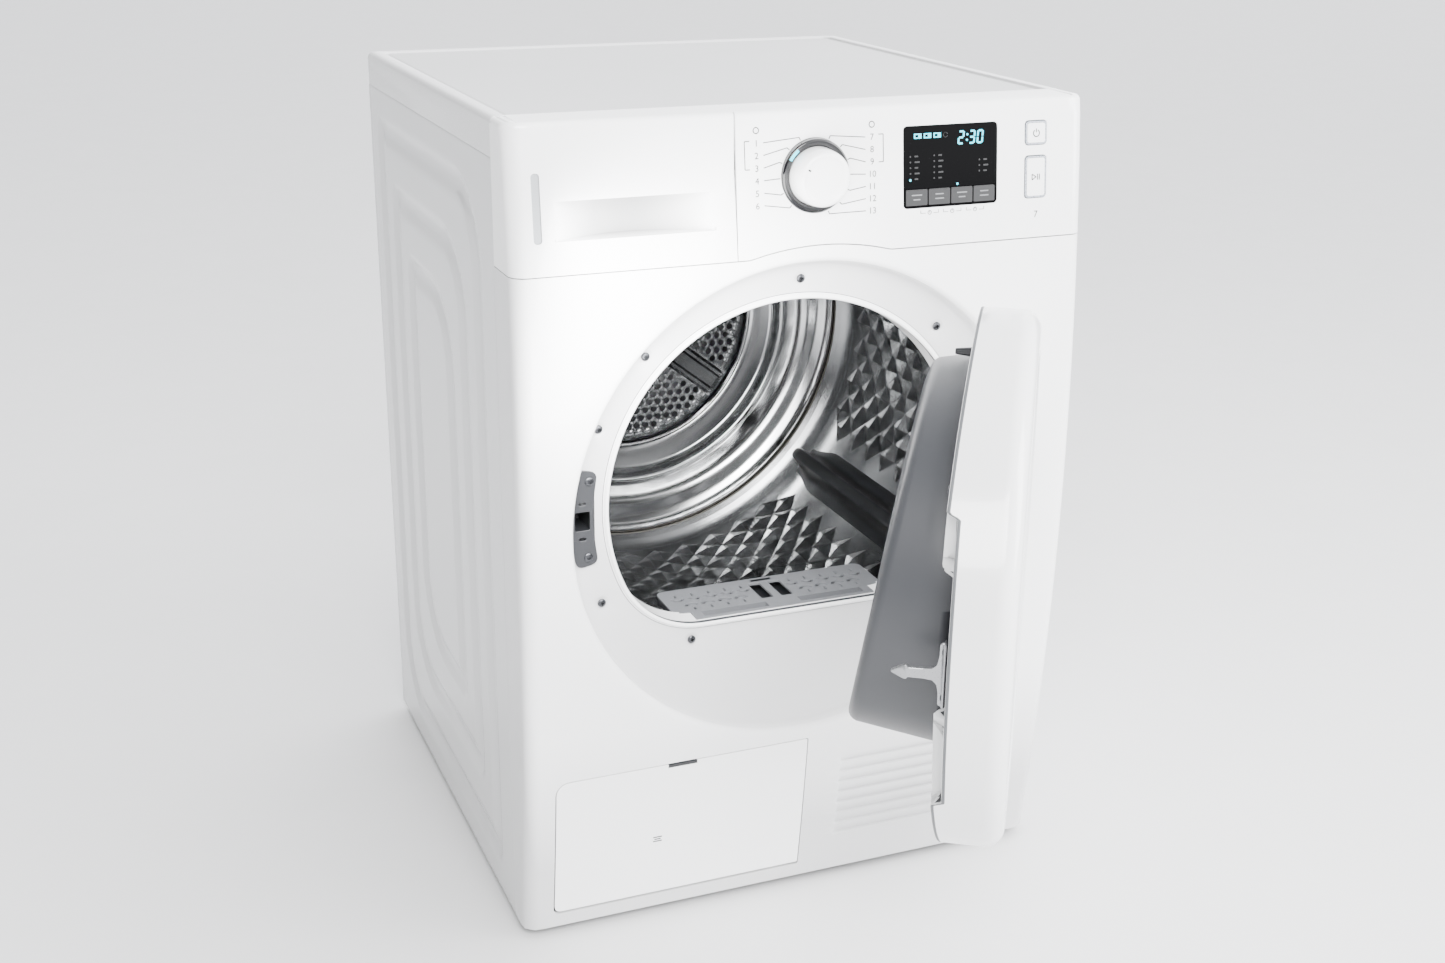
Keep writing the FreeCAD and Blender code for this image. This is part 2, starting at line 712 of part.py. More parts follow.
def filter_cover():
    """The flap over the heat exchanger, turning about two knuckles along its lower edge."""
    slab = barrel_slab("flap_slab", ("cover_left", "cover_right"), ("cover_bottom", "cover_top"), "0",
                       "plastic")
    soft = rounded("flap_soft", slab, "cover_corner",
                   lambda at, to: abs(to.y) > 0.9 and at.z > size("cover_top") - 2)
    notch = box("flap_notch", ("latch_left", "latch_right"), ("barrel_front", "seam_depth"),
                ("cover_top - 5", "cover_top + 1"))
    knuckles = []
    for n, start in enumerate(("cover_left + 14", "cover_right - 34")):
        knuckles.append(rod(f"flap_knuckle_{n}", "x", "cover_knuckle", (start, f"{start} + knuckle_length"),
                            ("cover_axis_depth", "cover_axis_height")))
    keep(fuse("flap", cut("flap_sheet", soft, notch), *knuckles), "filter_cover")
    keep(barrel_slab("flap_latch", ("latch_left + 1", "latch_right - 1"),
                     ("cover_top - 4.8", "cover_top - 1"), "0.8", "plastic + 5"), "cover_latch")


def door_lock():
    """Grey plate on the ring with a socket for the hook, and the lock's box behind it."""
    middle = ("0", "door_height")
    outer = rod("lock_arc_outer", "y", "recess_radius - 3", ("pan_front - 2", "pan_front"), middle)
    inner = rod("lock_arc_inner", "y", "recess_radius - 27", ("pan_front - 3", "pan_front + 1"), middle)
    span = box("lock_span", ("-cabinet_width / 2", "0"), ("barrel_front", "seam_depth"),
               ("latch_height - 49", "latch_height + 55"))
    plate = common("lock_plate", cut("lock_arc", outer, inner), span)
    case = box("lock_case", ("latch_across - 12.5", "latch_across + 12.5"), ("pan_front - 1", "-254"),
               ("latch_height - 29", "latch_height + 33"))
    socket = box("lock_socket", ("latch_across - socket_width / 2", "latch_across + socket_width / 2"),
                 ("barrel_front", "-256"),
                 ("latch_height + 2 - socket_high / 2", "latch_height + 2 + socket_high / 2"))
    keep(cut("lock", fuse("lock_blank", plate, case), socket), "door_lock")


def cabinet_screws():
    """One kind of pan-head screw: seven round the door ring, the rest round the rear cover."""
    front = [screw(f"ring_screw_{n}", x, z, size("pan_front")) for n, (x, z) in enumerate(RING_SCREWS)]
    rear = [screw(f"rear_screw_{n}", x, z, size("back_face") + size("duct_depth"), 1, length=11.5)
            for n, (x, z) in enumerate(rear_screws())]
    keep(fuse("cabinet_screw_set", *front, *rear), "cabinet_screws")


def front_support():
    """Front bulkhead: carries the drum's front edge and lines the opening down to the filter."""
    def make():
        face, back, steel = size("pan_front") + size("plastic"), size("support_back"), size("support_steel")
        forward = Vector(0, 1, 0)
        left = size("opening_middle") - size("lint_half_width")
        wide, deep = 2 * size("lint_half_width"), size("lint_back") - size("lint_front")
        plate = Part.makeCylinder(287, steel, Vector(0, back - steel, size("drum_height")), forward)
        foot = Part.makeBox(560, steel, 180, Vector(-280, back - steel, 205))
        collar = opening_prism(size("skin"), face + 0.3, back)
        start = Vector(0, back, size("drum_height"))
        glide = Part.makeCylinder(size("glide_radius") + steel, 15, start, forward).cut(
            Part.makeCylinder(size("glide_radius"), 15, start, forward))
        wall, play = 2.5, 0.4
        well = Part.makeBox(wide + 2 * wall, deep + 2 * wall, size("lint_top") - size("lint_bottom") + 4,
                            Vector(left - wall, size("lint_front") - wall, size("lint_bottom") - wall))
        solid = plate.fuse([foot, collar, glide, well])
        slot = Part.makeBox(wide + 2 * play, deep + 2 * play, 140,
                            Vector(left - play, size("lint_front") - play, size("lint_bottom") - play))
        neck_room = Part.makeBox(wide + 2 * play, 10, 30,
                                 Vector(left - play, size("lint_back"), size("ledge_bottom") + 0.5))
        lock_room = Part.makeBox(27, 10, 66,
                                 Vector(size("latch_across") - 13.5, back - 5, size("latch_height") - 31))
        return solid.cut([opening_prism(0, face - 5, back + 30), slot, neck_room, lock_room])
    keep(shaped("support", make), "drum_front_support")


def door_seal():
    """A rubber bead that follows the opening's edge on the ring."""
    def make():
        front, back = size("pan_front") - 3.5, size("pan_front")
        return opening_prism(6.5, front, back).cut(opening_prism(0.5, front - 1, back + 1))
    keep(shaped("seal", make), "door_seal")


def lint_filter():
    """Filter cassette that stands in the chin, with a ledge that reaches into the drum."""
    half = "lint_half_width"
    block = box("lint_block", (f"opening_middle - {half}", f"opening_middle + {half}"),
                ("lint_front", "lint_back"), ("lint_bottom", "lint_top"))
    panes = []
    for n in range(5):
        left = f"opening_middle - {half} + 6 + {n} * 38"
        panes.append(box(f"lint_pane_{n}", (left, f"{left} + 34"), ("lint_front - 1", "lint_back + 1"),
                         ("lint_bottom + 8", "lint_top - 14")))
    mouth = [box(f"lint_mouth_{n}", (f"opening_middle + {x}", f"opening_middle + {x} + 72"),
                 ("lint_front + 3", "lint_back - 3"), ("lint_top - 16", "lint_top + 1"))
             for n, x in enumerate((-90, 18))]
    neck = box("lint_neck", (f"opening_middle - {half}", f"opening_middle + {half}"),
               ("lint_back", "ledge_front + 1"), ("ledge_bottom + 1", "lint_top"))
    ledge = box("lint_ledge", ("opening_middle - ledge_half_width", "opening_middle + ledge_half_width"),
                ("ledge_front", "ledge_back"), ("ledge_bottom", "lint_top"))
    keep(cut("lint_frame", block, *panes, *mouth), "lint_filter")
    keep(fuse("lint_shelf", neck, ledge), "lint_ledge")


# ---------------------------------------------------------------- drum


def drum():
    """Steel drum with rolled edges, three lifters and the felts that seal its ends."""
    inner = "drum_radius - drum_steel"
    keep(turned("drum", [(inner, "drum_front"), ("drum_radius", "drum_front"), ("drum_radius", "drum_back"),
                         ("drum_radius - 9", "drum_back"), ("drum_radius - 9", "drum_back - drum_steel"),
                         (inner, "drum_back - drum_steel")], ("0", "drum_height")), "drum_shell")
    for n in range(3):
        angle = size("lifter_first") + 120 * n
        item = doc.addObject("Part::Wedge", f"lifter_wedge_{n + 1}")
        limits = {
            "Ymin": "0", "Ymax": "lifter_rise",
            "Xmin": "-lifter_base / 2", "Xmax": "lifter_base / 2",
            "X2min": "-lifter_crest / 2", "X2max": "lifter_crest / 2",
            "Zmin": "lifter_front", "Zmax": "lifter_back",
            "Z2min": "lifter_front + 12", "Z2max": "lifter_back - 60",
        }
        for side, text in limits.items():
            item.setExpression(side, rule(text))
        inward = Vector(-math.cos(math.radians(angle)), 0, -math.sin(math.radians(angle)))
        across = Vector(0, 1, 0).cross(Vector(0, 0, 0) - inward)
        matrix = FreeCAD.Matrix(across.x, inward.x, 0, 0, across.y, inward.y, 1, 0, across.z, inward.z, 0, 0)
        reach = size("drum_radius") - 3.6
        item.Placement = Placement(Vector(0, 0, size("drum_height")) - inward * reach, Rotation(matrix))
        keep(item, f"lifter_{n + 1}")
    middle = ("0", "drum_height")
    front = cut("felt_front",
                rod("felt_front_outer", "y", "drum_radius - drum_steel - joint_gap",
                    ("drum_front + 1", "drum_front + 7"), middle),
                rod("felt_front_inner", "y", "glide_radius + support_steel",
                    ("drum_front", "drum_front + 9"), middle))
    back = cut("felt_back",
               rod("felt_back_outer", "y", "drum_radius", ("drum_back + joint_gap", "bulkhead_face"), middle),
               rod("felt_back_inner", "y", "drum_radius - 9", ("drum_back", "bulkhead_face + 1"), middle))
    keep(fuse("felts", front, back), "drum_felts")


def rear_bulkhead():
    """Stepped steel bulkhead behind the drum, with the perforated air disc in its middle."""
    face = [(292, 0), (264, 0), (242, 18), (216, 21), (206, 8), (194, 8), (184, 24), (162, 31)]
    steel = size("support_steel")
    front = [(str(r), f"bulkhead_face + {y}") for r, y in face]
    back = [(str(r), f"bulkhead_face + {y} + {steel}") for r, y in reversed(face)]
    middle = ("0", "drum_height")
    through = ("bulkhead_face - 1", "bulkhead_face + 3")
    disc = turned("bulkhead_disc", front + back, middle)
    plate = cut("bulkhead_plate",
                box("bulkhead_sheet", ("-cabinet_width / 2 + 6", "cabinet_width / 2 - 6"),
                    ("bulkhead_face", "bulkhead_face + support_steel"),
                    ("tray_top + 4", "skirt_bottom - 6.5")),
                rod("bulkhead_hole", "y", "drum_radius + 2", through, middle))
    holes = [rod(f"bulkhead_bore_{n}", "y", "6.05", through, at) for n, at in enumerate(roller_places())]
    shaft = rod("bulkhead_shaft", "y", "20", through, ("motor_across", "motor_height"))
    keep(cut("bulkhead", fuse("bulkhead_blank", disc, plate), *holes, shaft), "rear_bulkhead")

    def perforated():
        radius, pitch = size("air_disc_radius"), size("air_hole_pitch")
        middle = Vector(0, size("air_disc_face"), size("drum_height"))
        disc_solid = Part.makeCylinder(radius, 1.5, middle, Vector(0, 1, 0))
        holes_made = []
        rows = int(radius / pitch) + 1
        for row in range(-rows, rows + 1):
            for column in range(-rows, rows + 1):
                x = pitch * (column + 0.5 * (row % 2))
                z = pitch * row * math.sqrt(3) / 2
                if 30 < math.hypot(x, z) < radius - 14:
                    holes_made.append(Part.makeCylinder(size("air_hole_radius"), 4,
                                                        middle + Vector(x, -1, z), Vector(0, 1, 0)))
        return disc_solid.cut(holes_made)
    keep(shaped("air_disc", perforated), "rear_air_disc")


def roller_places():
    """Where the two rollers' axles stand under the drum, as rules."""
    reach = "(drum_radius + roller_radius + 0.2)"
    return [(f"{side}{reach} * sin(roller_angle * 1deg)", f"drum_height - {reach} * cos(roller_angle * 1deg)")
            for side in ("-", "")]


def rollers():
    """Two rollers under the drum's rear edge, each turning on a fixed axle."""
    axles = []
    for label, at in zip(("left", "right"), roller_places()):
        keep(turned(f"roller_{label}", [
            ("6.05", "roller_front - 1"), ("12", "roller_front - 1"), ("12", "roller_front + 2"),
            ("roller_radius - 8", "roller_front + 3"), ("roller_radius - 8", "roller_front"),
            ("roller_radius", "roller_front"), ("roller_radius", "roller_back"),
            ("roller_radius - 8", "roller_back"), ("roller_radius - 8", "roller_back - 3"),
            ("12", "roller_back - 2"), ("12", "roller_back + 1"), ("6.05", "roller_back + 1"),
        ], at), f"drum_roller_{label}")
        shank = rod(f"axle_pin_{label}", "y", "6", ("roller_front - 4", "bulkhead_face + 6"), at)
        nut = rod(f"axle_nut_{label}", "y", "10", ("bulkhead_face + 2", "bulkhead_face + 7"), at)
        axles.append(fuse(f"axle_{label}", shank, nut))
    keep(fuse("axles", *axles), "roller_axles")


# ---------------------------------------------------------------- drive and air path


def belt_loop(drum_radius, pulley_radius):
    """The outline of an open belt round the drum and the motor's pulley."""
    depth = size("belt_front")
    big = Vector(0, depth, size("drum_height"))
    small = Vector(size("motor_across"), depth, size("motor_height"))
    along = (small - big).normalize()
    across = Vector(-along.z, 0, along.x)
    lean = (drum_radius - pulley_radius) / (small - big).Length
    spread = math.sqrt(1 - lean ** 2)
    left, right = along * lean + across * spread, along * lean - across * spread
    drum_left, drum_right = big + left * drum_radius, big + right * drum_radius
    pulley_left, pulley_right = small + left * pulley_radius, small + right * pulley_radius
    edges = [
        Part.LineSegment(drum_left, pulley_left).toShape(),
        Part.Arc(pulley_left, small + along * pulley_radius, pulley_right).toShape(),
        Part.LineSegment(pulley_right, drum_right).toShape(),
        Part.Arc(drum_right, big - along * drum_radius, drum_left).toShape(),
    ]
    return Part.Face(Part.Wire(edges)).extrude(Vector(0, size("belt_back") - depth, 0))


def drive():
    """Motor with its double-ended shaft, pulley and fan wheel, and the belt to the drum."""
    gap, thick = size("joint_gap"), size("belt_thick")

    def belt():
        outside = belt_loop(size("drum_radius") + gap + thick, size("pulley_radius") + gap + thick)
        return outside.cut(belt_loop(size("drum_radius") + gap, size("pulley_radius") + gap))

    keep(shaped("belt", belt), "drive_belt")
    centre = ("motor_across", "motor_height")
    case = rod("motor_case", "y", "motor_radius", ("20", "160"), centre)
    feet = box("motor_feet", ("motor_across - 50", "motor_across + 50"), ("40", "140"), ("26", "60"))
    bore = rod("motor_bore", "y", "shaft_radius + 0.1", ("0", "200"), centre)
    keep(cut("motor", fuse("motor_blank", case, feet), bore), "drive_motor")
    shaft = rod("rotor_shaft", "y", "shaft_radius", ("fan_front - 6", "belt_back + 10"), centre)
    pulley = rod("rotor_pulley", "y", "pulley_radius", ("belt_front - 4", "belt_back + 6"), centre)
    hub = rod("rotor_hub", "y", "hub_radius", ("fan_front - 10", "fan_front + 54"), centre)
    web = rod("rotor_web", "y", "fan_radius", ("fan_front + 50", "fan_front + 53"), centre)
    blades = []
    for n in range(12):
        blade = doc.addObject("Part::Box", f"blade_{n}")
        blade.setExpression("Length", rule("fan_radius - hub_radius"))
        blade.setExpression("Width", rule("fan_width"))
        blade.Height = 2
        turn = Rotation(Vector(0, 1, 0), 30 * n)
        root = turn.multVec(Vector(size("hub_radius") - 1, 0, -1))
        middle = Vector(size("motor_across"), size("fan_front"), size("motor_height"))
        blade.Placement = Placement(middle + root, turn)
        blades.append(blade)
    keep(fuse("rotor", shaft, pulley, hub, web, *blades), "motor_rotor")
    deep = ("scroll_front", "scroll_back")
    inside = ("scroll_front + scroll_wall", "scroll_back - scroll_wall")
    body = rod("scroll_body", "y", "scroll_radius", deep, centre)
    throat = box("scroll_throat", ("motor_across - scroll_radius", "motor_across"), deep,
                 ("motor_height - 6", "motor_height + scroll_radius"))
    hollow = rod("scroll_hollow", "y", "scroll_radius - 4", inside, centre)
    vent = box("scroll_vent", ("motor_across - scroll_radius - 4", "motor_across"), inside,
               ("motor_height - 2", "motor_height + scroll_radius - 4"))
    eye = rod("scroll_eye", "y", "50", ("scroll_front - 12", "scroll_front + 8"), centre)
    back = rod("scroll_shaft", "y", "20", ("scroll_back - 16", "0"), centre)
    keep(cut("scroll", fuse("scroll_blank", body, throat), hollow, vent, eye, back), "fan_housing")


def air_path():
    """Finned heat exchanger behind the flap, the heater in the rear duct, and the drain pump."""
    block = box("exchanger_block", ("exchanger_left", "exchanger_right"),
                ("exchanger_front", "exchanger_back"), ("exchanger_bottom", "exchanger_top"))
    core = box("exchanger_core", ("exchanger_left + 6", "exchanger_right - 6"),
               ("exchanger_front - 8", "exchanger_back + 10"), ("exchanger_bottom + 6", "exchanger_top - 6"))
    fins = []
    for n in range(int(size("fin_count"))):
        start = f"exchanger_bottom + 12 + {n} * fin_pitch"
        fins.append(box(f"exchanger_fin_{n}", ("exchanger_left + 5", "exchanger_right - 5"),
                        ("exchanger_front + 6", "exchanger_back - 6"), (start, f"{start} + fin_thick")))
    keep(fuse("exchanger", cut("exchanger_frame", block, core), *fins), "heat_exchanger")
    rails = [box(f"heater_rail_{n}", ("-60", "160"), ("heater_depth - 10", "heater_depth + 10"),
                 (f"{z}", f"{z + 8}")) for n, z in enumerate((150, 262))]
    coils = [rod(f"heater_coil_{n}", "z", "coil_radius", ("152", "268"),
                 (f"-40 + {n} * heater_pitch", "heater_depth")) for n in range(9)]
    keep(fuse("heater_set", *rails, *coils), "heater")
    at = ("pump_across", "pump_depth")
    flange = box("pump_flange", ("pump_across - 35", "pump_across + 35"),
                 ("pump_depth - 33", "pump_depth + 31"), ("21", "27"))
    keep(fuse("pump", rod("pump_body", "z", "pump_radius", ("26", "78"), at), flange,
              rod("pump_outlet", "z", "6", ("70", "110"), at)), "drain_pump")


def base():
    """Moulded base tray: floor, walls, cradle for the motor and four threaded bosses."""
    half = "cabinet_width / 2 - tray_inset"
    front, back, floor = "seam_depth + 3", "back_face - 5", "shell_bottom + 1.5"
    block = box("tray_block", (f"-({half})", half), (front, back), (floor, "tray_top"))
    hollow = box("tray_hollow", (f"-({half}) + plastic", f"{half} - plastic"),
                 (f"{front} + plastic", f"{back} - plastic"), (f"{floor} + plastic", "tray_top + 8"))
    bosses, bores = [], []
    for n, (x, y) in enumerate(foot_places()):
        bosses.append(rod(f"tray_boss_{n}", "z", "boss_radius", (floor, "boss_top"), (x, y)))
        bores.append(rod(f"tray_bore_{n}", "z", "stud_radius + 0.05", ("0", "boss_top - 2"), (x, y)))
    across = ("exchanger_left - 22", "exchanger_right + 6")
    ribs = [
        box("tray_rib_front", across, ("exchanger_front - 4", "exchanger_front - 1"), (floor, "33")),
        box("tray_rib_side", ("exchanger_right + 8", "exchanger_right + 11"), ("-232", "150"), (floor, "58")),
        box("tray_rib_back", across, ("exchanger_back + 2", "exchanger_back + 5"), (floor, "58")),
        box("tray_seat", ("exchanger_left", "exchanger_right"), ("exchanger_front", "exchanger_back"),
            (floor, "exchanger_bottom")),
        box("tray_cradle", ("motor_across - 50", "motor_across + 50"), ("40", "140"), (floor, "26")),
        box("tray_pump_seat", ("pump_across - 35", "pump_across + 35"),
            ("pump_depth - 33", "pump_depth + 31"), (floor, "21")),
    ]
    shell = cut("tray_shell", block, hollow)
    keep(cut("tray", fuse("tray_blank", shell, *bosses, *ribs), *bores), "base_tray")


def foot_places():
    return [(f"{side}foot_across", depth) for side in ("-", "") for depth in ("foot_front", "foot_back")]


def feet():
    """Four screw-in levelling feet."""
    made = []
    for n, (x, y) in enumerate(foot_places()):
        made.append(fuse(f"foot_{n}", rod(f"foot_pad_{n}", "z", "foot_radius", ("0", "7"), (x, y)),
                         rod(f"foot_nut_{n}", "z", "9", ("7", "12"), (x, y)),
                         rod(f"foot_stud_{n}", "z", "stud_radius", ("12", "42"), (x, y))))
    keep(fuse("feet", *made), "levelling_feet")


def tank():
    """Water tank behind the drawer front, shaped over the drum, and the shelf it slides on."""
    along = ("tank_front", "tank_back")

    def hull(name, grow, arc, front, back, top):
        block = box(f"{name}_block", (f"tank_left - {grow}", f"tank_right + {grow}"), (front, back),
                    (f"tank_bottom - {grow}", top))
        drum_space = rod(f"{name}_arc", "y", arc, ("-400", "400"), ("0", "drum_height"))
        return cut(name, block, drum_space)

    outside = hull("tank_outside", "0", "tank_arc", "tank_front", "tank_back", "tank_top")
    inside = hull("tank_inside", "-skin", "tank_arc + skin", "tank_front + skin", "tank_back - skin",
                  "tank_top - skin")
    fill = rod("tank_fill", "z", "9", ("tank_top - 10", "tank_top + 1"), ("-200", "150"))
    bracket = box("tank_bracket", ("-235", "-125"), ("recess_back + skin", "tank_front + 1"), ("790", "804"))
    keep(fuse("tank", cut("tank_shell", outside, inside, fill), bracket), "water_tank")
    shelf_out = hull("shelf_outside", "3", "tank_arc - 4", "seam_depth + 6", "tank_back + 6", "tank_top - 20")
    shelf_in = hull("shelf_inside", "0.6", "tank_arc - 1", "seam_depth - 20", "tank_back + 2",
                    "tank_top + 10")
    keep(cut("shelf", shelf_out, shelf_in), "tank_shelf")


def outside_fittings():
    """Mains inlet gland and drain spigot."""
    at = ("gland_across", "gland_height")
    barrel_part = rod("gland_barrel", "y", "gland_radius", ("back_face - 18", "back_face + 3"), at)
    flange = rod("gland_flange", "y", "gland_radius + 6", ("back_face", "back_face + 2"), at)
    bore = rod("gland_bore_tool", "y", "gland_bore", ("back_face - 25", "back_face + 6"), at)
    keep(cut("gland", fuse("gland_set", barrel_part, flange), bore), "mains_inlet")
    at = ("spigot_across", "spigot_height")
    tail = rod("spigot_tail", "y", "spigot_radius + 1", ("back_face - 24", "back_face + 1"), at)
    flange = rod("spigot_flange_disc", "y", "spigot_flange", ("back_face", "back_face + 2"), at)
    neck = rod("spigot_neck", "y", "spigot_radius - 0.8", ("back_face + 1", "back_face + 4"), at)
    tube = rod("spigot_tube", "y", "spigot_radius", ("back_face + 3", "back_face + spigot_length"), at)
    bore = rod("spigot_bore", "y", "spigot_radius - 2", ("back_face - 30", "back_face + 40"), at)
    keep(cut("spigot", fuse("spigot_set", tail, flange, neck, tube), bore), "drain_spigot")


# ---------------------------------------------------------------- door


def plug_prism(front, back, swell):
    """The liner plug's outline at its root, grown by a distance and carried between two depths."""
    wire = opening_wire(size("plug_radius"), size("plug_chin"), size("plug_chin_radius"), front, swell)
    return Part.Face(wire).extrude(Vector(0, back - front, 0))


def door_profile(inset):
    """The door ring's outer form as a turned solid, set in by a wall thickness."""
    radius, front = size("door_radius") - inset, size("door_front") + inset
    edge = size("door_edge_radius") - inset
    start = Vector()
    top = Vector(0, front, 0)
    turn_in = Vector(radius - edge, front, 0)
    turn_out = Vector(radius, front + edge, 0)
    bend = edge * math.sin(math.pi / 4)
    halfway = Vector(radius - edge + bend, front + edge - bend, 0)
    far = Vector(radius, 0, 0)
    wire = Part.Wire([
        Part.LineSegment(start, top).toShape(),
        Part.LineSegment(top, turn_in).toShape(),
        Part.Arc(turn_in, halfway, turn_out).toShape(),
        Part.LineSegment(turn_out, far).toShape(),
        Part.LineSegment(far, start).toShape(),
    ])
    solid = Part.Face(wire).revolve(Vector(), Vector(0, 1, 0), 360)
    solid.translate(Vector(0, 0, size("door_height")))
    bow = size("door_back_radius") - inset
    bow_centre = Vector(-400, size("door_back") - size("door_back_radius"), size("door_height"))
    back = Part.makeCylinder(bow, 800, bow_centre, Vector(1, 0, 0))
    return solid.common(back)


def hinge_slots(grow):
    """Room in the door's edge for the two hinge lugs, over the door's whole swing."""
    slots = []
    for side in (-1, 1):
        low = size("door_height") + side * size("lug_spread") - size("lug_thick") / 2 - grow
        slots.append(Part.makeBox(60, 90, size("lug_thick") + 2 * grow,
                                  Vector(size("hinge_across") - size("lug_width") / 2 - grow,
                                         size("door_front") - 5, low)))
    return slots


def door_screws():
    """Screw places round the door ring."""
    return screw_circle(DOOR_SCREW_TURNS, DOOR_SCREW_REACH, size("door_height"))


def door_back_at(height):
    """Depth of the door ring's bowed back at a height."""
    rise = height - size("door_height")
    bow = size("door_back_radius")
    return size("door_back") - bow + math.sqrt(bow ** 2 - rise ** 2)


def door_holes():
    """Clearance for the door's screws and its buffer."""
    holes = [Part.makeCylinder(2, 40, Vector(x, -325, z), Vector(0, 1, 0)) for x, z in door_screws()]
    across, height = BUFFER_PLACE
    return holes + [Part.makeCylinder(5.2, 40, Vector(across, -325, height), Vector(0, 1, 0))]


def door():
    """Door ring, outer panel, bulged liner, hook, hinge arm and pin, buffer and screws."""
    wall = size("skin")
    centre = Vector(0, -400, size("door_height"))

    def ring():
        shell = door_profile(0).cut(door_profile(wall))
        face_hole = Part.makeCylinder(size("door_panel_radius"), 60, centre, Vector(0, 1, 0))
        back_hole = plug_prism(size("door_back") - 40, size("door_back") + 40, 0.5)
        grip = Part.makeBox(60, 40, size("grip_top") - size("grip_bottom"),
                            Vector(-size("door_radius") - 5, size("grip_depth"), size("grip_bottom")))
        return shell.cut([face_hole, back_hole, grip] + hinge_slots(1.0) + door_holes())

    keep(on_open_door(shaped("ring", ring)), "door_ring")

    def outer():
        dish_radius = size("dish_radius")
        radius = size("door_panel_radius") - size("joint_gap")
        front = size("door_front") + 1.2
        start, inward = Vector(0, front, size("door_height")), Vector(0, 1, 0)
        depth = dish_radius - math.sqrt(dish_radius ** 2 - radius ** 2)
        middle = Vector(0, front - dish_radius + depth * 0.45, size("door_height"))
        solid = Part.makeCylinder(radius, 16, start, inward).cut(Part.makeSphere(dish_radius, middle))
        rim = Part.makeCylinder(radius, 3, start, inward)
        hollow = Part.makeCylinder(radius - wall, 16, start + inward * 13, inward)
        return solid.common(Part.makeSphere(dish_radius + wall, middle).fuse(rim)).cut(hollow)

    keep(on_open_door(shaped("outer", outer)), "door_outer_panel")

    def plug(inset):
        near, far = size("door_back") - 2.0, size("door_back") + size("plug_reach")
        wires = []
        for depth, less in ((near, 0), (far, size("plug_taper"))):
            wires.append(opening_wire(size("plug_radius"), size("plug_chin"), size("plug_chin_radius"), depth,
                                      -less - inset))
        solid = Part.makeLoft(wires, True, True)
        trim = Part.makeBox(600, 400, 700, Vector(-300, 0, -450))
        trim.rotate(Vector(), Vector(1, 0, 0), size("plug_slope"))
        trim.translate(Vector(0, size("plug_top_end") - inset, 658))
        return solid.cut(trim)

    def liner():
        flange = Part.makeCylinder(size("door_radius") - wall - 1.2, wall,
                                   Vector(0, size("door_back") - 15.5, size("door_height")), Vector(0, 1, 0))
        neck = plug_prism(size("door_back") - 15.5, size("door_back") - 1, 0)
        neck_hollow = plug_prism(size("door_back") - 20, size("door_back") - 1.9, -wall)
        shell = plug(0).fuse([neck, flange]).cut([plug(wall), neck_hollow])
        return shell.cut(hinge_slots(1.0) + door_holes())

    keep(on_open_door(shaped("liner", liner)), "door_liner")

    across, height = size("latch_across"), size("latch_height")
    back = size("door_back")

    def hook():
        plate = Part.makeBox(12, 2, 56, Vector(across - 6, back - 11.2, height - 28))
        bar = Part.makeBox(4, size("hook_reach") + 9, 2 * size("hook_half_height"),
                           Vector(across - 2, back - 9.5, height - size("hook_half_height")))
        tip = back + size("hook_reach")
        barb = Part.Face(Part.makePolygon([
            Vector(across - 2, tip - 12, height - 6.5), Vector(across - 2, tip - 12, height + 6.5),
            Vector(across - 2, tip - 1, height + 1), Vector(across - 2, tip - 1, height - 1),
            Vector(across - 2, tip - 12, height - 6.5)])).extrude(Vector(4, 0, 0))
        return plate.fuse([bar.cut(Part.makeBox(10, 20, 20, Vector(across - 5, tip - 6, height - 10))), barb])

    keep(on_open_door(shaped("hook", hook)), "latch_hook")

    def arm():
        spread, thick = size("lug_spread"), size("lug_thick")
        half = spread - thick / 2 - 0.5
        low = size("door_height") - half
        x, y = size("hinge_across"), size("hinge_depth")
        knuckle = Part.makeCylinder(size("knuckle_radius"), 2 * half, Vector(x, y, low))
        leaf = Part.makeBox(58, 3, 2 * half - 10, Vector(x - 60, y + 1.6, low + 5))
        bore = Part.makeCylinder(size("pin_radius"), 200, Vector(x, y, low - 50))
        return knuckle.fuse(leaf).cut(bore)

    keep(on_open_door(shaped("arm", arm)), "door_hinge_arm")

    def pin():
        half = size("lug_spread") + size("lug_thick") / 2 + 1
        foot = Vector(size("hinge_across"), size("hinge_depth"), size("door_height") - half)
        return Part.makeCylinder(size("pin_radius"), 2 * half, foot)

    keep(on_open_door(shaped("pin", pin)), "hinge_pin")

    def buffer():
        place = Vector(BUFFER_PLACE[0], back - 14, BUFFER_PLACE[1])
        return Part.makeCone(5, 2.6, 19, place, Vector(0, 1, 0))

    keep(on_open_door(shaped("buffer", buffer)), "door_buffer")

    heads = [screw(f"door_screw_{n}", x, z, round(door_back_at(z) + 0.6, 2), 1, head=4, length=8)
             for n, (x, z) in enumerate(door_screws())]
    keep(on_open_door(fuse("door_screw_set", *heads)), "door_screws")


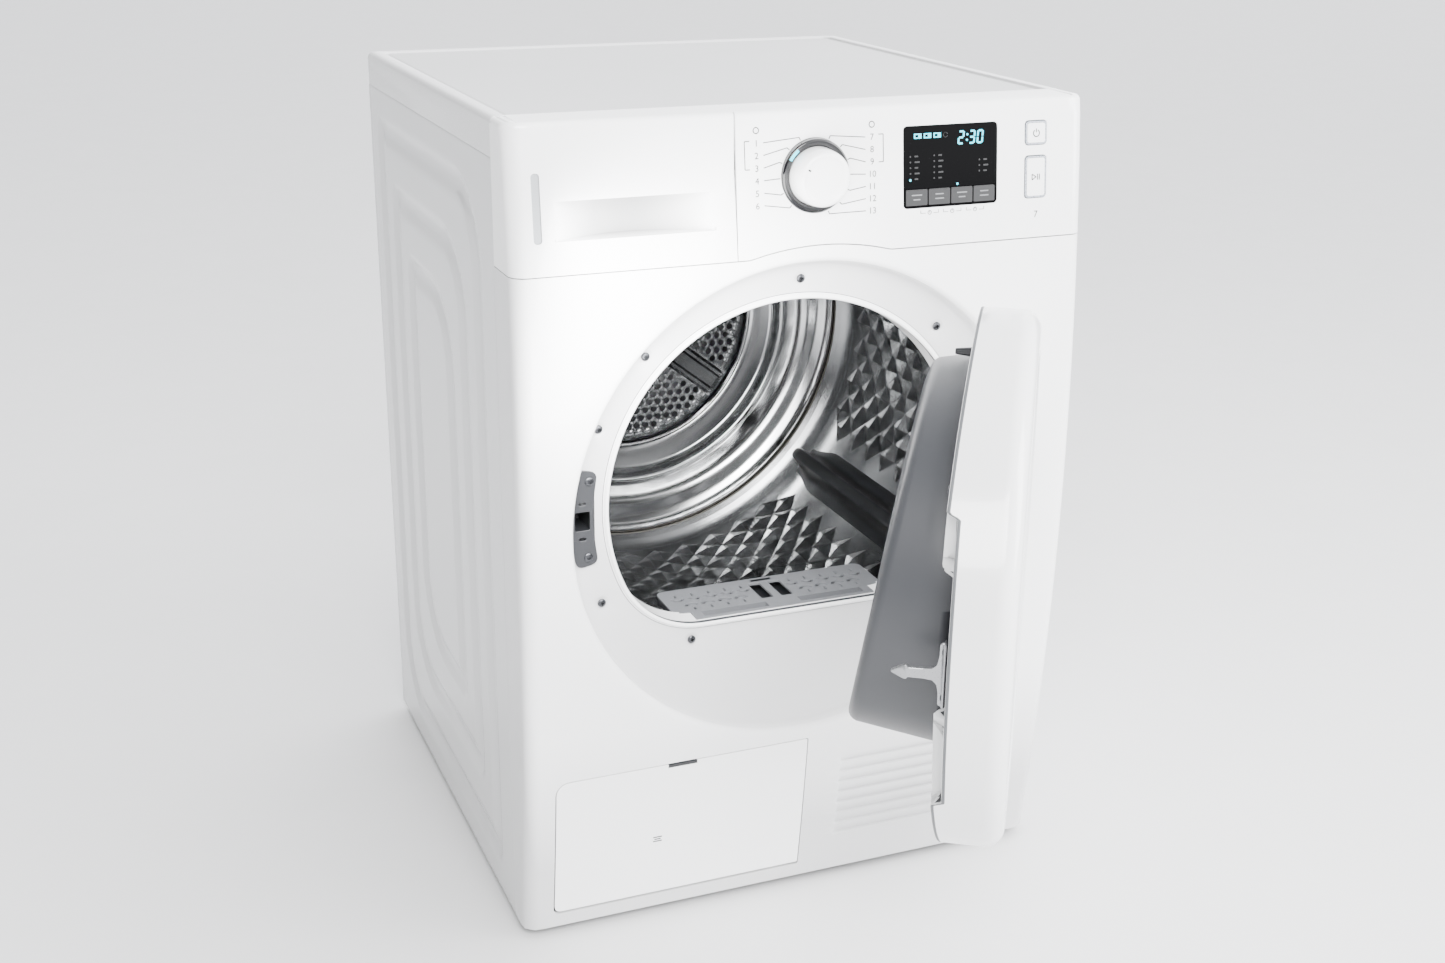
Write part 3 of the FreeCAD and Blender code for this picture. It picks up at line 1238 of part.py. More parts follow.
def hinge_bracket():
    """Plate on the ring with two lugs that hold the door's pin."""
    plate = box("hinge_plate", ("hinge_across - 18", "hinge_across + 18"), ("pan_front - 2", "pan_front"),
                ("door_height - 55", "door_height + 55"))
    lugs = []
    for n, side in enumerate(("-", "+")):
        middle = f"door_height {side} lug_spread"
        span = (f"{middle} - lug_thick / 2", f"{middle} + lug_thick / 2")
        lugs.append(box(f"hinge_lug_{n}", ("hinge_across - lug_width / 2", "hinge_across + lug_width / 2"),
                        ("hinge_depth", "pan_front - 1"), span))
        lugs.append(rod(f"hinge_eye_{n}", "z", "lug_width / 2", span, ("hinge_across", "hinge_depth")))
    bore = rod("hinge_bore", "z", "pin_radius + pin_clearance", ("door_height - 60", "door_height + 60"),
               ("hinge_across", "hinge_depth"))
    keep(cut("hinge", fuse("hinge_blank", plate, *lugs), bore), "hinge_bracket")


# ---------------------------------------------------------------- assembly


def export():
    """Check every object, then write one STEP file for each sub-part."""
    doc.recompute()
    bad = [item.Name for item in doc.Objects if {"Invalid", "Error"} & set(item.State)]
    if bad:
        raise RuntimeError(f"failed objects: {bad}")
    for label, item in NODES.items():
        if item.Shape.isNull() or not item.Shape.isValid() or not item.Shape.Solids:
            raise RuntimeError(f"bad shape: {label}")
    os.makedirs("parts", exist_ok=True)
    for label, item in NODES.items():
        item.Shape.exportStep(f"parts/{label}.step")
        print(f"{label:20s} solids {len(item.Shape.Solids)}  volume {item.Shape.Volume / 1000:.1f} cm3")


for build in (
    side_panels, worktop, rear_shell, front_panel, fascia_and_drawer, controls, filter_cover, door_lock,
    cabinet_screws, front_support, door_seal, lint_filter, drum, rear_bulkhead, rollers, drive, air_path,
    base, feet, tank, outside_fittings, door, hinge_bracket,
):
    build()
export()
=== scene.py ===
import json
import math

import bmesh
import bpy
import numpy as np
from mathutils import Matrix, Vector
from mathutils.geometry import delaunay_2d_cdt


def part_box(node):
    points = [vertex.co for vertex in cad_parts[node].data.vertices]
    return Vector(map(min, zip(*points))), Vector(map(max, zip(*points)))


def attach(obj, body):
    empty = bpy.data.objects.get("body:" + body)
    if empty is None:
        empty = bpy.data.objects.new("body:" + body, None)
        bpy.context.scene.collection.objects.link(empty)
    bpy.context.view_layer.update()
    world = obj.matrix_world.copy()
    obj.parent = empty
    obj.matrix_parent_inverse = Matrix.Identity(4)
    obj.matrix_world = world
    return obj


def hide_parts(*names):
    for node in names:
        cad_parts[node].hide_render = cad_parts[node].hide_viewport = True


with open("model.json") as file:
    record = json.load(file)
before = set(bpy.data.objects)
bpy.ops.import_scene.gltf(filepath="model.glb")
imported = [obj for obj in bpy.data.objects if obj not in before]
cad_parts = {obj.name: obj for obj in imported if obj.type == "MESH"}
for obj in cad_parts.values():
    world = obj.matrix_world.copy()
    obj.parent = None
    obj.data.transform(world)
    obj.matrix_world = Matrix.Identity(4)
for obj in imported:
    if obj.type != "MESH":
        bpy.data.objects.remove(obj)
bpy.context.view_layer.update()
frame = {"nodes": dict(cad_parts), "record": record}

nodes = frame["nodes"]
record = frame["record"]
MM = 0.001


def low(node):
    """Lowest corner of a CAD node, in mm."""
    return Vector(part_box(node)[0]) / MM


def high(node):
    """Highest corner of a CAD node, in mm."""
    return Vector(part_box(node)[1]) / MM


# ---------------------------------------------------------------- materials


class Look:
    """One procedural material, built node by node."""

    def __init__(self, name):
        self.mat = bpy.data.materials.new(name)
        self.mat.use_nodes = True
        self.tree = self.mat.node_tree
        self.shader = self.tree.nodes["Principled BSDF"]
        self.place = self.tree.nodes.new("ShaderNodeTexCoord").outputs["Object"]

    def set(self, **values):
        for key, value in values.items():
            self.shader.inputs[key.replace("_", " ")].default_value = value
        return self

    def noise(self, scale, detail=3.0, stretch=None):
        node = self.tree.nodes.new("ShaderNodeTexNoise")
        node.inputs["Scale"].default_value = scale
        node.inputs["Detail"].default_value = detail
        source = self.place
        if stretch:
            mapping = self.tree.nodes.new("ShaderNodeMapping")
            mapping.inputs["Scale"].default_value = stretch
            self.tree.links.new(source, mapping.inputs["Vector"])
            source = mapping.outputs["Vector"]
        self.tree.links.new(source, node.inputs["Vector"])
        return node.outputs["Fac"]

    def spread(self, source, a, b, start=0.3, end=0.7):
        node = self.tree.nodes.new("ShaderNodeMapRange")
        node.inputs["From Min"].default_value = start
        node.inputs["From Max"].default_value = end
        node.inputs["To Min"].default_value = a
        node.inputs["To Max"].default_value = b
        self.tree.links.new(source, node.inputs["Value"])
        return node.outputs["Result"]

    def tint(self, source, a, b):
        node = self.tree.nodes.new("ShaderNodeMix")
        node.data_type = "RGBA"
        node.inputs[6].default_value = (*a, 1)
        node.inputs[7].default_value = (*b, 1)
        self.tree.links.new(source, node.inputs["Factor"])
        self.tree.links.new(node.outputs[2], self.shader.inputs["Base Color"])
        return self

    def rough(self, source, a, b):
        self.tree.links.new(self.spread(source, a, b), self.shader.inputs["Roughness"])
        return self

    def bump(self, source, strength, distance=0.0003):
        node = self.tree.nodes.new("ShaderNodeBump")
        node.inputs["Strength"].default_value = strength
        node.inputs["Distance"].default_value = distance
        self.tree.links.new(source, node.inputs["Height"])
        self.tree.links.new(node.outputs["Normal"], self.shader.inputs["Normal"])
        return self


def plain(name, colour, rough, grain=900.0, strength=0.08, drift=0.03, metal=0.0, coat=0.0, stretch=None):
    """A moulded or painted surface: slow colour drift, uneven gloss and a fine surface grain."""
    look = Look(name)
    slow = look.noise(6.0)
    fine = look.noise(grain, 2.0, stretch)
    darker = tuple(c * (1 - drift) for c in colour)
    look.tint(look.spread(slow, 0.0, 1.0), darker, colour)
    look.rough(fine, max(0.02, rough * 0.88), min(1.0, rough * 1.12))
    look.bump(fine, strength, 0.0002)
    return look.set(Metallic=metal, Coat_Weight=coat, Coat_Roughness=0.05)


LOOKS = {
    # Painted shade: the side steel's white enamel is set to a mid grey (0.52) to stand in for the dimmer
    # light on the cabinet's sides.
    "white_steel": plain("steel_enamel_painted_shade", (0.52, 0.524, 0.53), 0.22, 500, 0.04, 0.012, coat=0.5),
    "white_plastic": plain("white_gloss", (0.9, 0.903, 0.906), 0.2, 700, 0.03, 0.012, coat=0.35),
    # Painted shade: the worktop plate's white is set to a mid grey (0.5) to stand in for the light falling on
    # the top.
    "white_matte_plastic": plain("top_plate_painted_shade", (0.5, 0.503, 0.508), 0.42, 1600, 0.25, 0.03),
    "grey_plastic": plain("grey_satin", (0.036, 0.0375, 0.042), 0.42, 1500, 0.12, 0.05),
    "dark_plastic": plain("charcoal", (0.012, 0.0125, 0.014), 0.32, 1200, 0.1, 0.06),
    "light_grey_plastic": plain("light_grey", (0.15, 0.155, 0.165), 0.38, 1500, 0.1, 0.04),
    "black_glass": plain("black_window", (0.001, 0.001, 0.0012), 0.1, 300, 0.01,
                         0.2).set(Specular_IOR_Level=0.06),
    "key_plastic": plain("key_grey", (0.012, 0.0122, 0.013), 0.45, 1400, 0.06, 0.08),
    "ring_black": plain("ring_black", (0.004, 0.004, 0.005), 0.12, 400, 0.02, 0.2, coat=0.4),
    "window_clear": plain("level_grey", (0.34, 0.355, 0.37), 0.18, 300, 0.02, 0.04, coat=0.6),
    "drum_steel": plain("drum_steel", (0.5, 0.505, 0.51), 0.16, 60, 0.05, 0.08, metal=1.0,
                        stretch=(1, 12, 12)),
    "galvanised": plain("galvanised", (0.52, 0.53, 0.55), 0.42, 45, 0.12, 0.22, metal=0.9),
    "bright_steel": plain("zinc_plate", (0.42, 0.43, 0.44), 0.24, 900, 0.05, 0.08, metal=1.0),
    "seal_rubber": plain("seal", (0.5, 0.51, 0.52), 0.5, 2000, 0.2, 0.04),
    "belt_rubber": plain("black_rubber", (0.018, 0.018, 0.02), 0.7, 1800, 0.3, 0.15),
    "felt": plain("felt", (0.25, 0.235, 0.21), 0.95, 2600, 0.9, 0.2),
    "fin_aluminium": plain("fins", (0.7, 0.71, 0.72), 0.35, 40, 0.5, 0.1, metal=1.0, stretch=(22, 1, 1)),
    "motor_steel": plain("motor_paint", (0.07, 0.072, 0.08), 0.5, 600, 0.2, 0.1, metal=0.3),
    "board_green": plain("board", (0.012, 0.11, 0.05), 0.35, 350, 0.3, 0.3),
    "tank_plastic": plain("tank_milky", (0.72, 0.75, 0.77), 0.35, 700, 0.1, 0.03),
}
slot_of = {item["node"]: item["material_slot"] for item in record["subparts"]}
for name, item in nodes.items():
    look = LOOKS[slot_of[name]].mat
    for place in item.material_slots:
        place.link = "OBJECT"
        place.material = look

# ---------------------------------------------------------------- mesh tools


def finish_mesh(item, sharp, bevel, thick):
    """Smooth shading with true edges kept, and optional wall thickness and edge rounding."""
    edit = bmesh.new()
    edit.from_mesh(item.data)
    for face in edit.faces:
        face.smooth = True
    for edge in edit.edges:
        if len(edge.link_faces) == 2 and edge.calc_face_angle(0.0) > math.radians(sharp):
            edge.smooth = False
    edit.to_mesh(item.data)
    edit.free()
    if thick:
        wall = item.modifiers.new("wall", "SOLIDIFY")
        wall.thickness = thick * MM
        wall.offset = -1.0
    if bevel:
        soft = item.modifiers.new("edges", "BEVEL")
        soft.width = bevel * MM
        soft.segments = 2
        soft.limit_method = "ANGLE"
        soft.angle_limit = math.radians(max(sharp, 40))


def piece(name, verts, faces, slot, body, stands_for=(), sharp=35.0, bevel=0.0, thick=0.0, place=None,
          looks=None, face_looks=None, recalc=True):
    """A finished piece: verts in mm, one or more looks, riding on a body."""
    mesh = bpy.data.meshes.new(name)
    mesh.from_pydata([Vector(v) * MM for v in verts], [], faces)
    if place is not None:
        mesh.transform(place)
    for look in looks or [LOOKS[slot].mat]:
        mesh.materials.append(look)
    if face_looks is not None:
        mesh.polygons.foreach_set("material_index", face_looks)
    edit = bmesh.new()
    edit.from_mesh(mesh)
    bmesh.ops.remove_doubles(edit, verts=edit.verts, dist=2e-6)
    bmesh.ops.dissolve_degenerate(edit, edges=edit.edges, dist=1e-7)
    if recalc:
        bmesh.ops.recalc_face_normals(edit, faces=edit.faces)
    edit.to_mesh(mesh)
    edit.free()
    item = bpy.data.objects.new(name, mesh)
    bpy.context.scene.collection.objects.link(item)
    finish_mesh(item, sharp, bevel, thick)
    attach(item, body)
    if stands_for:
        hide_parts(*stands_for)
    return item


def loft(loops, cap_start=False, cap_end=False, closed=True):
    """Verts and quads joining loops of equal length; closed loops wrap round."""
    count = len(loops[0])
    verts = [p for loop in loops for p in loop]
    faces = []
    reach = count if closed else count - 1
    for k in range(len(loops) - 1):
        for i in range(reach):
            j = (i + 1) % count
            faces.append((k * count + i, k * count + j, (k + 1) * count + j, (k + 1) * count + i))
    if cap_start:
        faces.append(tuple(range(count))[::-1])
    if cap_end:
        faces.append(tuple(range((len(loops) - 1) * count, len(loops) * count)))
    return verts, faces


def join(*parts):
    """Several (verts, faces) made one."""
    verts, faces = [], []
    for more_verts, more_faces in parts:
        start = len(verts)
        verts += more_verts
        faces += [tuple(start + i for i in face) for face in more_faces]
    return verts, faces


def at_depth(outline, depth):
    """A flat (x, z) outline, stood up at a depth."""
    return [Vector((x, depth, z)) for x, z in outline]


def lathe(profile, centre, segments):
    """Turn a list of (radius, depth) about a line along Y through centre (x, z)."""
    turns = [2 * math.pi * i / segments for i in range(segments)]
    return loft([[Vector((centre[0] + radius * math.cos(t), depth, centre[1] + radius * math.sin(t)))
                  for t in turns] for radius, depth in profile])


def bend(start, corner, end, t):
    """A point on the curve from start to end that leans towards a corner."""
    return tuple(start * (1 - t) ** 2 + corner * 2 * t * (1 - t) + end * t ** 2)


SIDE_SHARE = 0.45


def soften(path, radius, steps=4, closed=False):
    """Round the corners of a flat path of (a, b) points; a corner takes at most a share of each side."""
    out = []
    count = len(path)
    for i, point in enumerate(path):
        if not closed and i in (0, count - 1):
            out.append(tuple(point))
            continue
        here, before, after = Vector(point), Vector(path[i - 1]), Vector(path[(i + 1) % count])
        reach = min(radius, (before - here).length * SIDE_SHARE, (after - here).length * SIDE_SHARE)
        start = here + (before - here).normalized() * reach
        end = here + (after - here).normalized() * reach
        out += [bend(start, here, end, k / steps) for k in range(steps + 1)]
    return out


def block(x, y, z, chamfer):
    """A box between limits, its edges cut back by a small chamfer on every side."""
    loops = []
    for depth, less in ((y[0], chamfer), (y[0] + chamfer, 0), (y[1] - chamfer, 0), (y[1], chamfer)):
        left, right, bottom, top = x[0] + less, x[1] - less, z[0] + less, z[1] - less
        corners = [(left, bottom), (right, bottom), (right, top), (left, top)]
        loops.append(at_depth(soften(corners, chamfer * 1.5, 2, True), depth))
    return loft(loops, True, True)


def rod(start, end, radius, segments=24, chamfer=0.3):
    """A cylinder between two points, with chamfered ends."""
    start, end = Vector(start), Vector(end)
    axis = (end - start).normalized()
    side = axis.orthogonal().normalized()
    other = axis.cross(side)
    turns = [2 * math.pi * i / segments for i in range(segments)]
    loops = []
    for place, r in ((start, radius - chamfer), (start + axis * chamfer, radius),
                     (end - axis * chamfer, radius), (end, radius - chamfer)):
        loops.append([place + (side * math.cos(t) + other * math.sin(t)) * r for t in turns])
    return loft(loops, True, True)


def inside(points, loop):
    """Which points lie in a closed loop: those whose line to the left crosses it an odd number of times."""
    a = np.array([tuple(p)[:2] for p in loop])
    b = np.roll(a, -1, 0)
    x, y = points[:, :1], points[:, 1:2]
    crossing = (a[:, 1] > y) != (b[:, 1] > y)
    gap = np.where(np.abs(b[:, 1] - a[:, 1]) < 1e-12, 1e-12, b[:, 1] - a[:, 1])
    cut = (b[:, 0] - a[:, 0]) * (y - a[:, 1]) / gap + a[:, 0]
    return (np.sum(crossing & (x < cut), axis=1) % 2).astype(bool)


def nearest(points, spots):
    """Distance from each point to the nearest spot, worked out in batches."""
    batches = np.array_split(points, max(1, len(points) // 400))
    return np.concatenate([np.min(np.hypot(part[:, :1] - spots[:, 0], part[:, 1:2] - spots[:, 1]), axis=1)
                           for part in batches])


def plan_of(loops, lines):
    """Points and edges of closed loops and open lines."""
    points, edges = [], []
    for path, ends in [(loop, 0) for loop in loops] + [(line, 1) for line in lines]:
        start, count = len(points), len(path)
        points += [tuple(p)[:2] for p in path]
        edges += [(start + i, start + (i + 1) % count) for i in range(count - ends)]
    return points, edges


def triangles(points, edges, snap):
    """A flat plan's triangles: its points, the triangles and their middles."""
    made = delaunay_2d_cdt([Vector(p) for p in points], edges, [], 0, snap)
    plan, faces = made[0], made[2]
    middles = np.array([[sum(plan[i].x for i in f) / 3, sum(plan[i].y for i in f) / 3] for f in faces])
    return plan, faces, middles


def skin(name, outer, holes, shape, slot, body, stands_for=(), rings=(), lines=(), step=14.0, wall=3.0,
         bevel=0.5, sharp=40.0, looks=None):
    """A sheet cut from a flat plan: outer and hole loops, with extra rings and lines where it bends.
    shape puts a plan point in space. Its edges turn in by the wall's thickness."""
    points, edges = plan_of([outer, *holes, *rings], lines)
    fixed = np.array(points)
    lows, highs = fixed.min(0), fixed.max(0)
    across = np.arange(lows[0] + step / 2, highs[0], step)
    grid = np.array([(x + (row % 2) * step / 2, z)
                     for row, z in enumerate(np.arange(lows[1] + step / 2, highs[1], step)) for x in across])
    keep = inside(grid, outer)
    for hole in holes:
        keep &= ~inside(grid, hole)
    grid = grid[keep]
    if len(grid):
        grid = grid[nearest(grid, fixed) > step * 0.55]
    plan, faces, middles = triangles([*points, *grid], edges, 1e-5)
    good = inside(middles, outer)
    for hole in holes:
        good &= ~inside(middles, hole)
    verts = [shape(p.x, p.y) for p in plan]
    faces = [f for f, ok in zip(faces, good) if ok]
    item = piece(name, verts, faces, slot, body, stands_for, sharp=sharp, looks=looks, recalc=False)
    edit = bmesh.new()
    edit.from_mesh(item.data)
    loose = [v for v in edit.verts if not v.link_faces]
    bmesh.ops.delete(edit, geom=loose, context="VERTS")
    edit.normal_update()
    rim = [e for e in edit.edges if e.is_boundary]
    ways = {tuple(round(c, 7) for c in v.co): v.normal.copy() for e in rim for v in e.verts}
    new = bmesh.ops.extrude_edge_only(edit, edges=rim)["geom"]
    for vert in [g for g in new if isinstance(g, bmesh.types.BMVert)]:
        vert.co -= ways[tuple(round(c, 7) for c in vert.co)] * wall * MM
    edit.to_mesh(item.data)
    edit.free()
    finish_mesh(item, sharp, bevel, 0)
    return item


def circle(x, z, radius, count=48):
    """A circle's points, anticlockwise from its right."""
    return [(x + radius * math.cos(2 * math.pi * i / count), z + radius * math.sin(2 * math.pi * i / count))
            for i in range(count)]


def round_box(x0, x1, z0, z1, radius, steps=5):
    """A rectangle with round corners; radius is one value or four (lower left, then anticlockwise)."""
    radii = radius if isinstance(radius, (tuple, list)) else (radius,) * 4
    corners = ((x0, z0, math.pi), (x1, z0, 1.5 * math.pi), (x1, z1, 0), (x0, z1, 0.5 * math.pi))
    out = []
    for (cx, cz, first), r in zip(corners, radii):
        mx, mz = cx + (r if cx == x0 else -r), cz + (r if cz == z0 else -r)
        turns = [first + math.pi / 2 * k / steps for k in range(steps + 1)]
        out += [(mx + r * math.cos(t), mz + r * math.sin(t)) for t in turns]
    return out


def dense(loop, step):
    """The same closed loop with no stretch longer than step."""
    out = []
    for a, b in zip(loop, loop[1:] + loop[:1]):
        count = max(1, math.ceil(math.dist(a[:2], b[:2]) / step))
        out += [(a[0] + (b[0] - a[0]) * k / count, a[1] + (b[1] - a[1]) * k / count) for k in range(count)]
    return out


def smooth_step(t):
    """0 to 1 with a soft start and end, flat outside that span."""
    t = max(0.0, min(1.0, t))
    return t * t * (3 - 2 * t)


# ---------------------------------------------------------------- the curved front

HALF = high("side_panel_right").x
SEAM = high("front_panel").y
FACE_FRONT = low("front_panel").y
FACE_HEIGHT, FACE_RADIUS = 475.0, 3070.0
CORNER = 15.0
ARC = CORNER * math.pi / 2
FLAT = HALF - CORNER
SIDE = 40.0
PAN = high("door_seal").y
RING_AT = (0.0, 456.0)
RING_RADIUS = 249.0
RING_EDGE = 6.0
DRUM_AT = (0.0, 512.0)


def face_depth(z):
    """Depth of the barrel-shaped face at one height."""
    return FACE_FRONT + FACE_RADIUS - math.sqrt(FACE_RADIUS ** 2 - (z - FACE_HEIGHT) ** 2)


def on_face(x, z, lift=0.0):
    """A point on the face, or in front of it by a lift."""
    return Vector((x, face_depth(z) - lift, z))


def wrap(u, z):
    """The cabinet's front, rolled out flat: across the face, round the corner, then along to the seam."""
    side, reach, front = math.copysign(1, u), abs(u), face_depth(z)
    if reach <= FLAT:
        return Vector((u, front, z))
    if reach <= FLAT + ARC:
        turn = (reach - FLAT) / CORNER
        return Vector((side * (FLAT + CORNER * math.sin(turn)), front + CORNER * (1 - math.cos(turn)), z))
    along = (reach - FLAT - ARC) / SIDE
    return Vector((side * HALF, front + CORNER + (SEAM - front - CORNER) * along, z))


REACH = FLAT + ARC + SIDE


def corner_lines(bottom, top, sides=(-1, 1), step=16.0):
    """Upright lines that follow the round corners."""
    rows = max(2, int((top - bottom) / step))
    return [[(side * (FLAT + ARC * k / 6), bottom + (top - bottom) * i / rows) for i in range(1, rows)]
            for side in sides for k in range(7)]


def opening_loop(swell=0.0, radius=195.0, chin=340.0, corner=90.0, step=5.0, centre=(-12.0, 472.0)):
    """The drum opening: a circle with a flat chin and round corners."""
    across, height = centre
    rise = chin + corner - height
    radius, corner = radius + swell, corner + swell
    side = math.sqrt((radius - corner) ** 2 - rise ** 2)
    tilt = math.atan2(-rise, side)
    out = []

    def arc(cx, cz, r, a, b):
        count = max(2, int(abs(b - a) * r / step))
        out.extend((cx + r * math.cos(a + (b - a) * i / count), cz + r * math.sin(a + (b - a) * i / count))
                   for i in range(count))

    arc(across, height, radius, -tilt, math.pi + tilt)
    arc(across - side, height + rise, corner, math.pi + tilt, 1.5 * math.pi)
    flat = int(2 * side / step)
    out.extend((across - side + 2 * side * i / flat, height + rise - corner) for i in range(flat))
    arc(across + side, height + rise, corner, 1.5 * math.pi, 2 * math.pi - tilt)
    return out


BUMP_X, BUMP_Z, BUMP_RADIUS = 7.0, 436.0, 286.0
FASCIA_LOW = low("control_fascia").z


def seam_height(x):
    """Height of the seam between the front and the fascia, with its bump over the door ring."""
    rise = BUMP_RADIUS ** 2 - (x - BUMP_X) ** 2
    return max(FASCIA_LOW, BUMP_Z + math.sqrt(rise)) if rise > 0 else FASCIA_LOW


SCREWS_AT = [(-8, 687), (144, 625.5), (-168, 624), (-216, 557), (-215, 377), (-120, 322), (96, 322)]
SCREW_FLAT, DIMPLE = 5.0, 3.0
LOUVRE_TALL, LOUVRE_DEEP = 9.6, 3.2
LOUVRES = [(48.0, 250.0, 58 + 13.4 * n) for n in range(8)]
BEND_END, BEND_START = 0.4, 0.6


def ring_step(away, deep):
    """The door ring's edge: where it lies from the ring's middle and how far down, for a place on the plan.
    It rounds over, runs straight down, then rounds out on to the floor."""
    soft = min(RING_EDGE, deep * 0.45)
    t = (RING_RADIUS + RING_EDGE - away) / (2 * RING_EDGE)
    if t < BEND_END:
        turn = t / BEND_END * math.pi / 2
        reach, down = RING_RADIUS + soft - soft * math.sin(turn), soft * (1 - math.cos(turn))
        return reach + (RING_EDGE - soft) * (1 - t / BEND_END), down
    if t <= BEND_START:
        return RING_RADIUS, soft + (deep - 2 * soft) * (t - BEND_END) / 0.2
    if t < 1:
        turn = (t - BEND_START) / (1 - BEND_START) * math.pi / 2
        return RING_RADIUS - soft * (1 - math.cos(turn)), deep - soft + soft * math.sin(turn)
    return away, deep


def front_shape(u, z):
    """The steel front: barrel face, recessed door ring with soft edges, screw dimples and louvre ridges."""
    place = wrap(u, z)
    away = math.hypot(u - RING_AT[0], z - RING_AT[1])
    if away < RING_RADIUS + RING_EDGE and abs(u) <= FLAT:
        reach, down = ring_step(away, PAN - face_depth(z))
        grow = reach / max(away, 1e-6)
        x, h = RING_AT[0] + (u - RING_AT[0]) * grow, RING_AT[1] + (z - RING_AT[1]) * grow
        place = Vector((x, face_depth(z) + down, h))
        for sx, sz in SCREWS_AT:
            dip = 1 - (math.hypot(u - sx, z - sz) - SCREW_FLAT) / DIMPLE
            if dip > 0:
                place.y += 0.9 * smooth_step(dip)
    for left, right, base in LOUVRES:
        if left <= u <= right and base <= z <= base + LOUVRE_TALL:
            ends = smooth_step((u - left) / 4) * smooth_step((right - u) / 4)
            t = (z - base) / LOUVRE_TALL
            place.y += LOUVRE_DEEP * ends * (t / 0.1 if t < 0.1 else (1 - (t - 0.1) / 0.9) ** 1.3)
    return place


# ---------------------------------------------------------------- cabinet


WHITE = (0.9, 0.903, 0.906)


def deep_look(name, start, end, shade):
    """White enamel with painted shade: darker where the surface lies further back, standing in for the shade
    in recesses.
    """
    look = plain(name, WHITE, 0.22, 600, 0.03, 0.01, coat=0.3)
    split = look.tree.nodes.new("ShaderNodeSeparateXYZ")
    look.tree.links.new(look.place, split.inputs["Vector"])
    look.tint(look.spread(split.outputs["Y"], 0.0, 1.0, start, end), WHITE, (shade, shade, shade * 1.01))
    return look.mat


# Painted shade: the front's recessed door ring is painted darker with depth.
FRONT = deep_look("front_enamel_painted_shade", -0.301, -0.285, 0.56)
# Painted shade: the drawer's finger scoop is painted darker where it lies deeper.
SCOOP_PAINTED_SHADE = deep_look("drawer_scoop_painted_shade", -0.292, -0.266, 0.22)


def front_panel():
    """Steel front, with the drum opening, the flap's opening and the lock's window."""
    base = low("front_panel").z
    outer = [(float(u), base) for u in np.linspace(-REACH, REACH, 60)]
    outer += [(float(u), float(seam_height(u) - 0.8)) for u in np.linspace(REACH, -REACH, 161)]
    flap = round_box(-270.2, 9.2, 26.7, 191.0, (8, 2.5, 2.5, 14.5))
    holes = [opening_loop(0.3), dense(flap, 14), round_box(-247, -221, 434, 498, 2)]
    rings = [circle(*RING_AT, RING_RADIUS + RING_EDGE - 2 * RING_EDGE * t, 220) for t in
             (0.0, 0.1, 0.2, 0.3, 0.4, 0.6, 0.7, 0.8, 0.9, 1.0)]
    for x, z in SCREWS_AT:
        rings += [circle(x, z, SCREW_FLAT + DIMPLE * k / 3, 28) for k in range(4)]
    lines = []
    ends = [0, 1.3, 2.7, 4]
    for left, right, bottom in LOUVRES:
        cols = [left + e for e in ends] + list(np.linspace(left + 16, right - 16, 12))
        cols += [right - e for e in ends[::-1]]
        for t in (0.0, 0.1, 0.3, 0.55, 0.8, 1.0):
            lines.append([(float(x), bottom + LOUVRE_TALL * t) for x in cols])
    lines += corner_lines(base, FASCIA_LOW)
    # The front shell takes the look with painted shade in its door ring recess.
    skin("front_shell", outer, holes, front_shape, "white_plastic", "cabinet", ["front_panel"], rings, lines,
         bevel=0.6, sharp=50, looks=[FRONT])


SCOOP = (-258.0, -101.0, 741.0, 779.0)
TOP = high("control_fascia").z
TOP_EDGE = 5.0
DIAL_AT = (1.0, 787.6)


def fascia_shape(u, z):
    """Control fascia and drawer front: barrel face, round corners, rounded top edge, and the finger scoop."""
    place = wrap(u, z)
    if z > TOP - TOP_EDGE:
        turn = (z - TOP + TOP_EDGE) / TOP_EDGE * math.pi / 2
        height = TOP - TOP_EDGE + TOP_EDGE * math.sin(turn)
        place = wrap(u, TOP - TOP_EDGE)
        inward = TOP_EDGE * (1 - math.cos(turn))
        reach = abs(u)
        if reach <= FLAT:
            place.y += inward
        elif reach <= FLAT + ARC:
            a = (reach - FLAT) / CORNER
            place.x -= math.copysign(inward * math.sin(a), u)
            place.y += inward * math.cos(a)
        else:
            place.x -= math.copysign(inward, u)
        place.z = height
    x0, x1, z0, z1 = SCOOP
    if x0 <= u <= x1 and z0 <= z <= z1:
        across = (u - (x0 + x1) / 2) / ((x1 - x0) / 2)
        deep = 27.0 * max(0.0, 1 - across * across) ** 0.9
        if z < z0 + 2:
            place = Vector((u, face_depth(z0 + 2) + deep * (z - z0) / 2, z0 + 2))
        elif z > z1 - 2:
            place = Vector((u, face_depth(z1) + deep * (z1 - z) / 2, z1))
        else:
            t = (z - z0 - 2) / (z1 - z0 - 4)
            place = Vector((u, face_depth(z) + deep, z0 + 2 + (z1 - z0 - 2) * t))
    return place


def top_edge(u0, u1):
    """The plan's top edge, from u1 back to u0."""
    return [(float(u), TOP) for u in np.linspace(u1, u0, max(2, int(abs(u1 - u0) / 8)))]


def fascia_lines(u0, u1, side):
    """Bend lines along the rounded top edge and round one corner."""
    across = np.linspace(u0 + 0.5, u1 - 0.5, max(2, int((u1 - u0) / 10)))
    rows = [[(float(u), TOP - TOP_EDGE + TOP_EDGE * k / 4) for u in across] for k in range(4)]
    return rows + corner_lines(FASCIA_LOW + 1, TOP - 6, (side,), 12)


def cap_roof(name, side, body):
    """The small roof of the fascia beside the worktop's nose."""
    edge = [fascia_shape(side * u, TOP) for u in np.linspace(FLAT + 1.3, REACH, 14)]
    inner = [Vector((side * 286.3, p.y if p.y < SEAM - 1 else SEAM, p.z)) for p in edge]
    verts, faces = loft([edge, inner], closed=False)
    piece(name, verts, faces, "white_plastic", body, thick=2.0)


